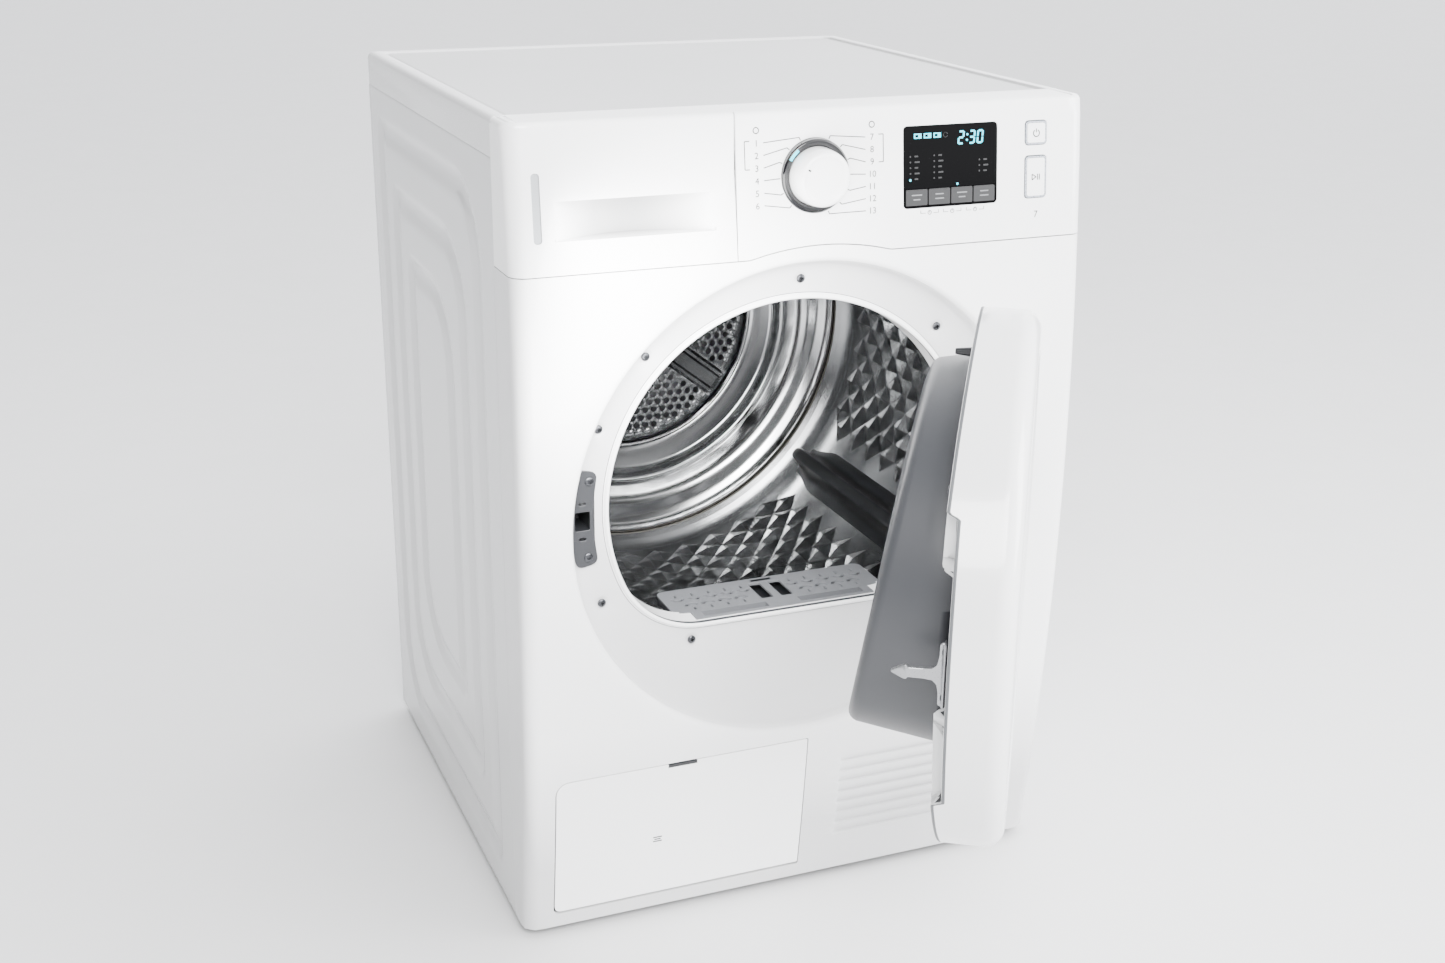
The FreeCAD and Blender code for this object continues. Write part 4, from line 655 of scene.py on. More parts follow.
def control_fascia():
    """Fascia right of the drawer, with openings for the display, two buttons and the dial."""
    split = -79.7
    low_edge = [(float(u), seam_height(u) + 0.2) for u in np.linspace(split, REACH, 110)]
    outer = low_edge + [(REACH, z) for z in np.linspace(FASCIA_LOW + 12, TOP - 6, 9)]
    outer += top_edge(split, REACH)
    holes = [round_box(94.6, 198.4, 749.6, 828.4, 4), round_box(229.4, 254.6, 803.4, 827.6, 4),
             round_box(229.4, 254.6, 751.4, 793.6, 4), circle(*DIAL_AT, 35.3, 90)]
    skin("fascia_shell", outer, holes, fascia_shape, "white_plastic", "cabinet", ["control_fascia"],
         lines=fascia_lines(split, REACH, 1))
    cap_roof("fascia_roof", 1, "cabinet")


def drawer_front():
    """Front of the water tank drawer, with its level window's opening and the finger scoop."""
    split = -80.3
    low_edge = [(float(u), seam_height(u) + 0.2) for u in np.linspace(-REACH, split, 60)]
    outer = low_edge + top_edge(-REACH, split)
    outer += [(-REACH, z) for z in np.linspace(TOP - 6, FASCIA_LOW + 12, 9)]
    holes = [round_box(-278, -270, 742, 805, 3.2)]
    x0, x1, z0, z1 = SCOOP
    lines = fascia_lines(-REACH, split, -1)
    cols = [float(x) for x in np.linspace(x0, x1, 53)]
    for z in (z0, z0 + 1, z0 + 2, z0 + 2.01, *(z0 + 8 + 6 * k for k in range(5)), z1 - 2, z1 - 1, z1):
        lines.append([(x, z) for x in cols])
    shell = skin("drawer_shell", outer, holes, fascia_shape, "white_plastic", "tank_drawer",
                 ["drawer_front"], lines=lines, looks=[LOOKS["white_plastic"].mat, SCOOP_PAINTED_SHADE])
    # Faces inside the finger scoop take the painted-shade look.
    for face in shell.data.polygons:
        at = face.center / MM
        if x0 < at.x < x1 and z0 < at.z < z1:
            face.material_index = 1
    cap_roof("drawer_roof", -1, "tank_drawer")


def filter_flap():
    """Flap over the heat exchanger: a notch for the finger at its top, two knuckles at its foot, an icon."""
    outer = round_box(-269, 8, 29.8, 189.9, (7, 1.5, 1.5, 13.5))
    notch = [(-117.0, 189.9), (-117.0, 185.4), (-149.0, 185.4), (-149.0, 189.9)]
    at = next(i for i, p in enumerate(outer) if p[1] > 189.8 and p[0] < 0)
    skin("flap_shell", dense(outer[:at] + notch + outer[at:], 12), [], on_face, "white_plastic",
         "filter_flap", ["filter_cover"], bevel=0.7)
    axis = low("filter_cover").z + 2.2
    knuckles = join(*[rod((x, -274.5, axis), (x + 20, -274.5, axis), 2.2) for x in (-255, -26)])
    piece("flap_knuckles", *knuckles, "white_plastic", "filter_flap")
    mark = [round_box(-163, -153, 96, 97.2, 0.5), round_box(-161.5, -154.5, 98.6, 99.8, 0.5),
            round_box(-163, -153, 101.2, 102.4, 0.5)]
    decal("filter_icon", mark, INK, "filter_flap")


BEAD_DEEP, BEAD_WIDE = 4.0, 34.0


def side_panel(side):
    """Steel side with three nested pressed beads: a steep outer wall and a gentle inner one."""
    name = "side_panel_right" if side > 0 else "side_panel_left"
    front, rear = low(name).y + 0.3, high(name).y
    bottom, top = low(name).z, high(name).z
    beads = [(-190 + 64 * n, 262 - 64 * n, 42 + 68 * n, 783 - 68 * n) for n in range(3)]

    def inset(y, z, y0, y1, z0, z1):
        """Distance inside a rectangle whose front-top and rear-bottom corners are wide, the others tight."""
        front_half, low_half = y < (y0 + y1) / 2, z < (z0 + z1) / 2
        radius = min(95.0 if front_half != low_half else 20.0, (y1 - y0) / 2 - 1)
        py = y0 + radius - y if front_half else y - y1 + radius
        pz = z0 + radius - z if low_half else z - z1 + radius
        if py > 0 and pz > 0:
            return radius - math.hypot(py, pz)
        return min(y - y0, y1 - y, z - z0, z1 - z)

    def depth(y, z):
        """How far the beads press the sheet in."""
        down = 0.0
        for bead in beads:
            t = inset(y, z, *bead) / BEAD_WIDE
            if 0 < t < 1:
                down = BEAD_DEEP * smooth_step(t / 0.3 if t < 0.3 else (1 - t) / 0.5)
        return down

    def sheet_point(y, z):
        """A point of the sheet, its outermost rows pulled in a little."""
        edge = 0.4 if y in (front, rear) or z in (bottom, top) else 0
        return Vector((side * (HALF - depth(y, z) - edge), y, z))

    ys = [front, front + 1] + list(np.arange(-236, 296, 4.6)) + [rear - 1, rear]
    zs = [bottom, bottom + 1] + list(np.arange(bottom + 5, top - 3, 4.8)) + [top - 1, top]
    verts, faces = loft([[sheet_point(y, z) for y in ys] for z in zs], closed=False)
    cols, rows = len(ys), len(zs)
    for edge in ([j * cols for j in range(rows)], [j * cols + cols - 1 for j in range(rows)],
                 list(range(cols)), list(range((rows - 1) * cols, rows * cols))):
        start = len(verts)
        verts += [Vector((side * (HALF - 17), verts[i].y, verts[i].z)) for i in edge]
        faces += [(edge[k], edge[k + 1], start + k + 1, start + k) for k in range(len(edge) - 1)]
    piece(f"{name}_sheet", verts, faces, "white_steel", "cabinet", [name], sharp=50, thick=1.0)


# Painted shade: the worktop rim's white is set to a grey (0.62), darker than the front's, to stand in for the
# light on the top.
RIM_PAINTED_SHADE = plain("rim_gloss_painted_shade", (0.62, 0.623, 0.627), 0.25, 700, 0.03, 0.01, coat=0.3).mat
NOSE_HALF, NOSE_LOW = 286.0, 838.4


def worktop():
    """Moulded rim, sloped softly to a panel let into it, with a nose over the fascia."""
    y0, y1, z1 = low("worktop_frame").y, high("worktop_frame").y, high("worktop_frame").z
    skirt = low("worktop_frame").z
    rim = []
    for inset, z, radius in ((0, skirt, 3), (0, z1 - 7, 3), (0.6, z1 - 4, 4), (2, z1 - 1.6, 5),
                             (4.2, z1 - 0.4, 7), (7, z1, 9), (14.5, z1 - 0.2, 11), (15.6, z1 - 1.2, 11),
                             (16, z1 - 2.4, 11), (16, z1 - 5, 11)):
        front = SEAM + 0.6 + (inset if inset > 14 else 0) * 0.2
        outline = round_box(-HALF + inset, HALF - inset, front, y1 - inset, (0.5, 0.5, radius, radius), 6)
        rim.append([Vector((x, y, z)) for x, y in outline])
    piece("worktop_rim", *loft(rim), "white_plastic", "cabinet", ["worktop_frame"], sharp=40, thick=1.5,
          looks=[RIM_PAINTED_SHADE])
    section = soften([(SEAM + 0.8, NOSE_LOW), (y0 + 0.3, NOSE_LOW), (y0 + 0.3, z1 - 0.6),
                      (SEAM + 0.8, z1 - 0.2)], 2.5, 3)
    nose = []
    for x, back in ((-NOSE_HALF, 0.4), (-NOSE_HALF + 0.4, 0), (NOSE_HALF - 0.4, 0), (NOSE_HALF, 0.4)):
        nose.append([Vector((x, y, z)) + Vector((0, back, 0)) for y, z in section])
    piece("worktop_nose", *loft(nose, True, True), "white_plastic", "cabinet", sharp=40)
    panel_low, panel_high = low("worktop_panel"), high("worktop_panel")
    plate = []
    for inset, drop in ((0, 0), (1.2, 0), (2.2, -0.8), (2.8, -0.8), (4, -0.1), (6, 0)):
        outline = round_box(panel_low.x + inset, panel_high.x - inset, panel_low.y + inset,
                            panel_high.y - inset, 10, 6)
        plate.append([Vector((x, y, panel_high.z + drop)) for x, y in outline])
    plate.insert(0, [p + Vector((0, 0, -3)) for p in plate[0]])
    piece("worktop_plate", *loft(plate, False, True), "white_matte_plastic", "cabinet", ["worktop_panel"],
          sharp=30)


PRINT_LIFT, PRINT_THICK = 0.22, 0.25


def decal(name, outlines, look, body, lift=PRINT_LIFT, slot="dark_plastic"):
    """Printed marks: flat outlines laid on the curved face."""
    verts, faces = [], []
    for outline in outlines:
        start, count = len(verts), len(outline)
        verts += [on_face(x, z, lift) for x, z in outline]
        verts += [on_face(x, z, lift - PRINT_THICK) for x, z in outline]
        faces.append(tuple(range(start, start + count)))
        faces += [(start + i, start + (i + 1) % count, start + count + (i + 1) % count, start + count + i)
                  for i in range(count)]
    piece(name, verts, faces, slot, body, looks=[look], sharp=30)


def letters(name, words, look, body):
    """Numerals laid on the curved face: words is a list of (text, x, z, height)."""
    verts, faces = [], []
    for text, x, z, height in words:
        curve = bpy.data.curves.new("numeral", "FONT")
        curve.body = text
        curve.size = height * 1.35
        curve.resolution_u = 3
        curve.align_x = "CENTER"
        item = bpy.data.objects.new("numeral", curve)
        mesh = bpy.data.meshes.new_from_object(item)
        start = len(verts)
        verts += [on_face(x + v.co.x, z + v.co.y, PRINT_LIFT) for v in mesh.vertices]
        faces += [tuple(start + i for i in p.vertices) for p in mesh.polygons]
        bpy.data.objects.remove(item)
        bpy.data.curves.remove(curve)
        bpy.data.meshes.remove(mesh)
    piece(name, verts, faces, "dark_plastic", body, looks=[look], sharp=30)


INK = plain("ink", (0.006, 0.006, 0.007), 0.5, 900, 0.05, 0.1).mat
FAINT = plain("faint_print", (0.006, 0.0065, 0.007), 0.4, 900, 0.05, 0.1).mat
glow = plain("display_glow", (0.02, 0.5, 0.62), 0.3, 900, 0.02, 0.1)
GLOW = glow.set(Emission_Color=(0.05, 0.72, 1.0, 1), Emission_Strength=1.1).mat

# ---------------------------------------------------------------- door ring, seal, lock and filter


HEAD_SIDES = 36


def cross_head(x, z, depth, towards, radius=4.3, tall=2.2):
    """A pan head with a cross recess; towards is -1 where it faces the front."""
    profile = soften([(radius, 0), (radius, tall * 0.35), (radius * 0.8, tall * 0.8), (radius * 0.45, tall)],
                     0.7, 3)
    cross = []
    for quarter in range(4):
        c, s = math.cos(quarter * math.pi / 2), math.sin(quarter * math.pi / 2)
        cross += [(a * c - b * s, a * s + b * c) for a, b in ((2.0, -0.55), (2.0, 0.55), (0.55, 0.55))]
    cross = dense(cross, 0.45)
    turns = [2 * math.pi * i / HEAD_SIDES for i in range(HEAD_SIDES)]
    rings = [[Vector((x + r * math.cos(t), depth + towards * up, z + r * math.sin(t))) for t in turns]
             for r, up in profile]
    outer = rings[-1]
    top = [Vector((x + a, depth + towards * tall, z + b)) for a, b in cross]
    web = []
    for i in range(HEAD_SIDES):
        j = (i + 1) % HEAD_SIDES
        a, b = [HEAD_SIDES + min(range(len(top)), key=lambda k: (top[k] - outer[n]).length) for n in (i, j)]
        web.append((i, j, b, a) if a != b else (i, j, a))
    floor = [Vector((x + a * 0.7, depth + towards * 0.6, z + b * 0.7)) for a, b in cross]
    return join(loft(rings), (outer + top, web), loft([top, floor], False, True))


def cabinet_screws():
    """Screws of the door ring, and those of the rear duct cover."""
    back = high("rear_duct_cover").y
    places = [(204 * math.cos(math.radians(a)), 470 + 204 * math.sin(math.radians(a)))
              for a in (15, 60, 120, 165, 225)]
    rear = [cross_head(x, z, back, 1) for x, z in places + [(-75, 86), (64, 86), (204, 86)]]
    front = [cross_head(x, z, PAN + 0.4, -1) for x, z in SCREWS_AT]
    piece("ring_screw_heads", *join(*front, *rear), "bright_steel", "cabinet", ["cabinet_screws"], sharp=30,
          looks=[SCREW_LOOK])


def seal():
    """White bead with a shallow groove on each side, following the opening."""
    count = 460
    path = [(0.2, 3.5), (0.2, -1.8), (1.0, -3.0), (2.4, -3.4), (3.8, -2.9), (4.6, -1.4), (5.1, -0.4),
            (5.9, -0.35), (6.5, 0.0)]
    loops = [at_depth(resample(opening_loop(out, step=3.0), count), PAN + up) for out, up in path]
    verts, faces = loft(loops)
    groove = [int(n // count in (0, 7)) for n in range(len(faces))]
    piece("opening_bead", verts, faces, "white_plastic", "cabinet", ["door_seal"], sharp=50,
          looks=[LOOKS["white_plastic"].mat, LOOKS["grey_plastic"].mat], face_looks=groove)


def resample(loop, count):
    """A closed loop as a set number of evenly spaced points, from its rightmost crossing."""
    points = np.array([tuple(p) for p in loop] + [tuple(loop[0])])
    steps = np.hypot(*np.diff(points, axis=0).T)
    along = np.concatenate([[0], np.cumsum(steps)])
    wanted = np.linspace(0, along[-1], count, endpoint=False)
    return [(float(np.interp(w, along, points[:, 0])), float(np.interp(w, along, points[:, 1])))
            for w in wanted]


LOCK_LOOK = plain("lock_grey", (0.02, 0.021, 0.024), 0.45, 1500, 0.12, 0.05).mat
LOCK_ROUND = 8.0


def lock_plate():
    """Grey arc plate with round ends, a socket, two screws and two small marks."""
    angles = np.linspace(math.radians(167.9), math.radians(192.1), 25)
    outline = [(245.6 * math.cos(a), 468.0 + 245.6 * math.sin(a)) for a in angles]
    outline += [(222.6 * math.cos(a), 468.0 + 222.6 * math.sin(a)) for a in angles[::-1]]
    socket = round_box(-241.4, -226.6, 456.6, 475.4, 1.2)
    marks = [round_box(-237.5, -230.5, z, z + 3, 1.4) for z in (482.5, 446)]
    skin("lock_cover", dense(round_ends(outline), 6), [socket, *marks],
         lambda x, z: Vector((x, PAN - 2.0, z)), "grey_plastic", "cabinet", ["door_lock"], step=6, wall=2.2,
         looks=[LOCK_LOOK])
    tunnel = [at_depth(round_box(-241.4 + t, -226.6 - t, 456.6 + t, 475.4 - t, 1.2), y)
              for y, t in ((PAN - 1.9, 0), (PAN + 6, 0.3), (PAN + 30, 1.0))]
    piece("lock_socket", *loft(tunnel, False, True), "dark_plastic", "cabinet")
    heads = [cross_head(x, z, PAN - 2.0, -1, 4.6, 1.6) for x, z in ((-226.5, 506), (-228.5, 428))]
    piece("lock_screws", *join(*heads), "bright_steel", "cabinet", sharp=30, looks=[SCREW_LOOK])


def round_ends(loop):
    """The same loop with its sharp corners bent round, without the points that stood close beside them."""
    count = len(loop)
    points = [Vector(p) for p in loop]

    def sharp(i):
        before, here, after = [points[(i + k) % count] for k in (-1, 0, 1)]
        return (before - here).angle(after - here, math.pi) < math.radians(140)

    out = []
    for i, here in enumerate(points):
        if sharp(i):
            start = here + (points[i - 1] - here).normalized() * LOCK_ROUND
            end = here + (points[(i + 1) % count] - here).normalized() * LOCK_ROUND
            out += [bend(start, here, end, k / 4) for k in range(5)]
        elif not any(sharp(i + k) and (points[(i + k) % count] - here).length < LOCK_ROUND + 0.5
                     for k in (-2, -1, 1, 2)):
            out.append(tuple(loop[i]))
    return out


def lint_grille():
    """Ledge into the drum: a plate of curved slots in two rows, a beaded rear edge, two windows and a tab."""
    lo, hi = low("lint_ledge"), high("lint_ledge")
    x0, x1, y0, y1, z = lo.x, hi.x, lo.y, hi.y, hi.z
    middle = (x0 + x1) / 2
    pitch, slot_radius, slot_wide = 18.5, 6.2, 2.6 * 1.45
    holes = []
    for cy, up in ((y0 + 14, 1), (y0 + 36, -1)):
        turns = np.linspace(math.pi * (0.05 if up > 0 else 1.05), math.pi * (0.95 if up > 0 else 1.95), 9)
        for n in range(-6, 7):
            cx = middle + pitch * n + (pitch / 2 if up < 0 else 0)
            if not x0 + 10 < cx < x1 - 10 or abs(cx - middle) < 22:
                continue
            holes.append([(cx + r * math.cos(t), cy + r * math.sin(t))
                          for r, way in ((slot_radius + slot_wide / 2, 1), (slot_radius - slot_wide / 2, -1))
                          for t in turns[::way]])
            near, far = sorted((cy - up * 2, cy - up * 10))
            holes.append(round_box(cx - 1.3, cx + 1.3, near, far, 1.2, 3))
    for side in (-1, 1):
        a, b = sorted((middle + side * 4.5, middle + side * 18))
        holes.append(round_box(a, b, y0 + 6, y1 - 13, 1.5, 3))
    outer = dense(round_box(x0, x1, y0, y1, (3, 3, 9, 9)), 6)
    skin("lint_plate", outer, holes, lambda x, y: Vector((x, y, z)), "light_grey_plastic", "lint_cassette",
         ["lint_ledge"], step=7, wall=2.2, bevel=0.35)
    beads = []
    for x in np.arange(x0 + 12, x1 - 16, 7.4):
        outline = round_box(x, x + 5.4, y1 - 5.2, y1 - 0.9, 1.6, 2)
        mx, my = [sum(p[k] for p in outline) / len(outline) for k in (0, 1)]
        levels = [[Vector((mx + (a - mx) * size, my + (b - my) * size, z - down)) for a, b in outline]
                  for size, down in ((1.0, 0.52), (0.8, 0.07))]
        beads.append(loft(levels, False, True))
    piece("lint_beads", *join(*beads), "light_grey_plastic", "lint_cassette", sharp=25)
    pocket = [[Vector((x, y, h)) for x, y in round_box(x0 + 2.4, x1 - 2.4, y0 + 2.4, y1 - 2.4, 3)]
              for h in (z - 2.3, lo.z)]
    piece("lint_pocket", *loft(pocket, False, True), "dark_plastic", "lint_cassette", sharp=40)
    bar = block((middle - 3.2, middle + 3.2), (y0 + 4, y1 - 10), (z - 3, z - 0.1), 0.6)
    tab = block((middle - 13, middle + 13), (y1 - 9.5, y1 - 2.5), (z - 3, z), 1.2)
    piece("lint_handle", *join(bar, tab), "window_clear", "lint_cassette", sharp=35)


# ---------------------------------------------------------------- drum


LIFTER_TURN = -41.0
DRUM_LOOK = plain("polished_steel", (0.5, 0.505, 0.51), 0.15, 25, 0.01, 0.12, metal=1.0).mat
DISC_LOOK = plain("pressed_disc", (0.22, 0.225, 0.23), 0.24, 40, 0.01, 0.12, metal=1.0).mat
SCREW_LOOK = plain("dark_zinc", (0.07, 0.072, 0.078), 0.3, 900, 0.05, 0.1, metal=0.9).mat


def drum_point(turn, depth, radius):
    """A point at an angle, a depth and a distance from the drum's axis."""
    return Vector((DRUM_AT[0] + radius * math.cos(turn), depth, DRUM_AT[1] + radius * math.sin(turn)))


def drum_wall():
    """Steel drum: fields of raised diamonds between the lifters, plain bands beside them and at both ends."""
    inner, outer = 281.6, 282.9
    raised, uneven, groove = 4.6, 0.7, 0.8
    front, rear = low("drum_shell").y, high("drum_shell").y
    margin = math.radians(8.6)
    steps, rows, first = 26, 20, 4
    field_front, field_rear = front + 14.0, rear - 47.0
    depths = [front, front + 1.2, front + 7, front + 9]
    depths += list(np.linspace(field_front, field_rear, rows + 1))
    depths += [field_rear + 6, field_rear + 8, field_rear + 10, rear - 8, rear]
    span = 2 * math.pi / 3 - 2 * margin
    turns, field = [], []
    for n in range(3):
        angle = math.radians(LIFTER_TURN + 120 * n)
        turns += list(np.linspace(angle - margin, angle + margin, 9)[:-1])
        field += [None] * 8
        turns += [angle + margin + span * k / steps for k in range(steps)]
        field += list(range(steps))
    count = len(turns)
    wave = np.random.default_rng(7)
    verts, faces = [], []
    for j, depth in enumerate(depths):
        for i, turn in enumerate(turns):
            k, row = field[i], j - first
            lift = groove if j in (2, first + rows + 2) else 0.0
            if k is not None and 0 < k < steps and 0 < row < rows and (k + row) % 2:
                lift = raised + wave.uniform(-uneven, uneven)
            verts.append(drum_point(turn, float(depth), inner - lift))
    for j in range(len(depths) - 1):
        for i in range(count):
            a, b = j * count + i, j * count + (i + 1) % count
            c, d = b + count, a + count
            k, row = field[i], j - first
            if k is None or not 0 <= row < rows:
                faces.append((a, b, c, d))
            elif (k + row) % 2:
                faces += [(a, b, d), (b, c, d)]
            else:
                faces += [(a, b, c), (a, c, d)]
    start = len(verts)
    for depth in (rear, front):
        verts += [drum_point(turn, float(depth), outer) for turn in turns]
    last = (len(depths) - 1) * count
    for i in range(count):
        j = (i + 1) % count
        faces.append((last + i, last + j, start + j, start + i))
        faces.append((start + i, start + j, start + count + j, start + count + i))
        faces.append((start + count + i, start + count + j, j, i))
    flange = lathe([(inner, rear - 0.4), (274, rear - 0.4), (273.6, rear - 1.2), (inner, rear - 1.4)],
                   DRUM_AT, 180)
    piece("drum_wall", *join((verts, faces), flange), "drum_steel", "drum", ["drum_shell"], sharp=9,
          looks=[DRUM_LOOK])


def lifter(n):
    """A charcoal paddle: round crest, hollow flanks and tapered ends."""
    name = f"lifter_{n + 1}"
    turn = math.radians(LIFTER_TURN + 120 * n)
    front, rear = low(name).y, high(name).y
    outward = Vector((math.cos(turn), 0, math.sin(turn)))
    across = Vector((-math.sin(turn), 0, math.cos(turn)))
    centre = Vector((DRUM_AT[0], 0, DRUM_AT[1]))
    half = [(-30, -0.5), (-27, 3), (-15, 14), (-9.5, 38), (-7, 50)]
    section = soften(half + [(0, 52)] + [(-w, h) for w, h in half[::-1]], 8, 4)
    taper = 0.16
    loops = []
    for s in [*np.linspace(0, taper, 8), *np.linspace(0.22, 0.78, 8), *np.linspace(1 - taper, 1, 8)]:
        edge = min(s, 1 - s) / taper
        tall = 0.12 + 0.88 * math.sin(min(1, edge) * math.pi / 2) ** 0.8
        wide = 0.62 + 0.38 * smooth_step(edge)
        along = Vector((0, front + (rear - front) * s, 0))
        loops.append([centre + outward * (math.sqrt(281.3 ** 2 - (w * wide) ** 2) - max(h * tall, 0)) +
                      across * (w * wide) + along for w, h in section])
    piece(f"{name}_paddle", *loft(loops, True, True), "dark_plastic", "drum", [name], sharp=45)


def rear_bulkhead():
    """Fixed drum back: pressed and rolled rings round the air disc, on a flat plate."""
    lo, hi = low("rear_bulkhead"), high("rear_bulkhead")
    face = lo.y
    path = [(291, 0), (281, 0), (279.5, 1.2), (277, 4), (274.5, 1.4), (269, 0.6), (262, 2), (252, 8),
            (243, 16), (236, 20), (229, 21.5), (215, 22), (211, 19), (208, 11), (204, 9.5), (200, 12),
            (197, 19), (193, 22.5), (180, 26), (171, 28), (167, 29.5), (165, 31.5), (162.5, 31)]
    soft = soften(path, 3, 4)
    rolled = [(r, face + d) for r, d in soft] + [(r + 0.8, face + d + 1.4) for r, d in soft[::-1]]
    piece("bulkhead_rings", *lathe(rolled, DRUM_AT, 240), "drum_steel", "cabinet", ["rear_bulkhead"], 
          sharp=50, looks=[DRUM_LOOK])
    skin("bulkhead_plate", dense(round_box(lo.x, hi.x, lo.z, hi.z, 6), 30), [circle(*DRUM_AT, 290.6, 120)],
         lambda x, z: Vector((x, face + 1.2, z)), "galvanised", "cabinet", step=60, wall=1.5, bevel=0)


def air_disc():
    """Perforated disc with three raised ribs, each with two grooves."""
    radius, face = 160.0, low("rear_air_disc").y
    cx, cz = DRUM_AT
    ribs = [math.radians(a) for a in (-38, 82, 202)]
    pitch, hole = 11.6, 3.9
    rib_half, hub, rib_high, groove_at, rib_end = 17, 26, 5.0, 9.0, 156

    def rib_at(x, z):
        """Distance from the nearest rib's line, and along it."""
        best = (1e9, 0)
        for a in ribs:
            along = (x - cx) * math.cos(a) + (z - cz) * math.sin(a)
            off = abs(-(x - cx) * math.sin(a) + (z - cz) * math.cos(a))
            if along > 0 and off < best[0]:
                best = (off, along)
        return best

    def shape(x, z):
        off, along = rib_at(x, z)
        away = math.hypot(x - cx, z - cz)
        up = 0.0
        if off < rib_half and along > 8:
            up = rib_high * smooth_step((rib_half - off) / 3.5)
            up -= 2.6 * smooth_step(1 - abs(off - groove_at) / 1.8)
            up *= smooth_step((rib_end - along) / 8)
        if away < hub:
            up = max(up, rib_high * smooth_step((hub - away) / 4))
        return Vector((x, face + 0.4 - up, z))

    holes = []
    rows = int(radius / (pitch * 0.866)) + 1
    for row in range(-rows, rows + 1):
        for col in range(-rows - 2, rows + 3):
            x, z = cx + (col + (row % 2) / 2) * pitch, cz + row * pitch * 0.866
            if 33 <= math.hypot(x - cx, z - cz) <= radius - 13 and rib_at(x, z)[0] >= rib_half + hole + 0.8:
                holes.append((x, z))
    lines = []
    offsets = (7.2, 9, 10.8, 13.5, 15.2, 17)
    for a in ribs:
        c, s = math.cos(a), math.sin(a)
        for off in [-o for o in offsets[::-1]] + list(offsets):
            lines.append([(cx + c * t - s * off, cz + s * t + c * off)
                          for t in np.linspace(36, rib_end - abs(off) * 0.08, 16)])
    rings = [circle(cx, cz, r, 40) for r in (22, 24, hub)]
    perforated(shape, circle(cx, cz, radius - 0.3, 160), holes, hole, rings, lines)


def perforated(shape, outer, holes, radius, rings, lines):
    """The disc's sheet: its many holes are dropped by their triangles' middles."""
    points, edges = plan_of([outer, *rings, *[circle(x, z, radius, 12) for x, z in holes]], lines)
    plan, faces, middles = triangles(points, edges, 1e-4)
    good = inside(middles, outer) & (nearest(middles, np.array(holes)) > radius * 0.97)
    kept = [f for f, ok in zip(faces, good) if ok]
    used = sorted({i for f in kept for i in f})
    spot = {old: new for new, old in enumerate(used)}
    piece("air_disc_sheet", [shape(plan[i].x, plan[i].y) for i in used],
          [tuple(spot[i] for i in f) for f in kept], "drum_steel", "cabinet", ["rear_air_disc"], sharp=30,
          thick=0.9, looks=[DISC_LOOK])


# ---------------------------------------------------------------- controls


def rod_strip(x0, z0, x1, z1, width):
    """A straight printed line."""
    way = Vector((x1 - x0, z1 - z0)).normalized() * width / 2
    side = Vector((-way.y, way.x))
    return [(x0 + side.x, z0 + side.y), (x0 - side.x, z0 - side.y), (x1 - side.x, z1 - side.y),
            (x1 + side.x, z1 + side.y)]


def ring_strips(x, z, radius, width, start, end, count=20):
    """A printed ring or arc, in short pieces."""
    turns = [math.radians(start + (end - start) * i / count) for i in range(count + 1)]
    near, far = radius - width / 2, radius + width / 2
    return [[(x + r * math.cos(t), z + r * math.sin(t))
             for r, t in ((near, a), (far, a), (far, b), (near, b))] for a, b in zip(turns, turns[1:])]


SEGMENTS = {"0": "abcdef", "2": "abged", "3": "abgcd"}


def seven(text, x, z, wide, tall, bar):
    """Seven-segment digits, slightly slanted."""
    shapes = []
    for sign in text:
        if sign == ":":
            for up in (0.3, 0.7):
                shapes.append(circle(x + 1.2 + up * tall * 0.1, z + tall * up, bar * 0.62, 10))
            x += wide * 0.45
            continue
        gap, half = bar * 0.3, bar / 2
        end, foot, head = wide - half, gap + bar / 4, tall - gap - bar / 4
        lay = {"a": (gap + half, tall - half, wide - gap - half, tall - half),
               "g": (gap + half, tall / 2, wide - gap - half, tall / 2),
               "d": (gap + half, half, wide - gap - half, half),
               "f": (half, tall / 2 + gap, half, head), "b": (end, tall / 2 + gap, end, head),
               "e": (half, foot, half, tall / 2 - gap), "c": (end, foot, end, tall / 2 - gap)}
        for key in SEGMENTS[sign]:
            shapes.append([(x + px + (pz * 0.1), z + pz) for px, pz in rod_strip(*lay[key], bar)])
        x += wide * 1.28
    return shapes


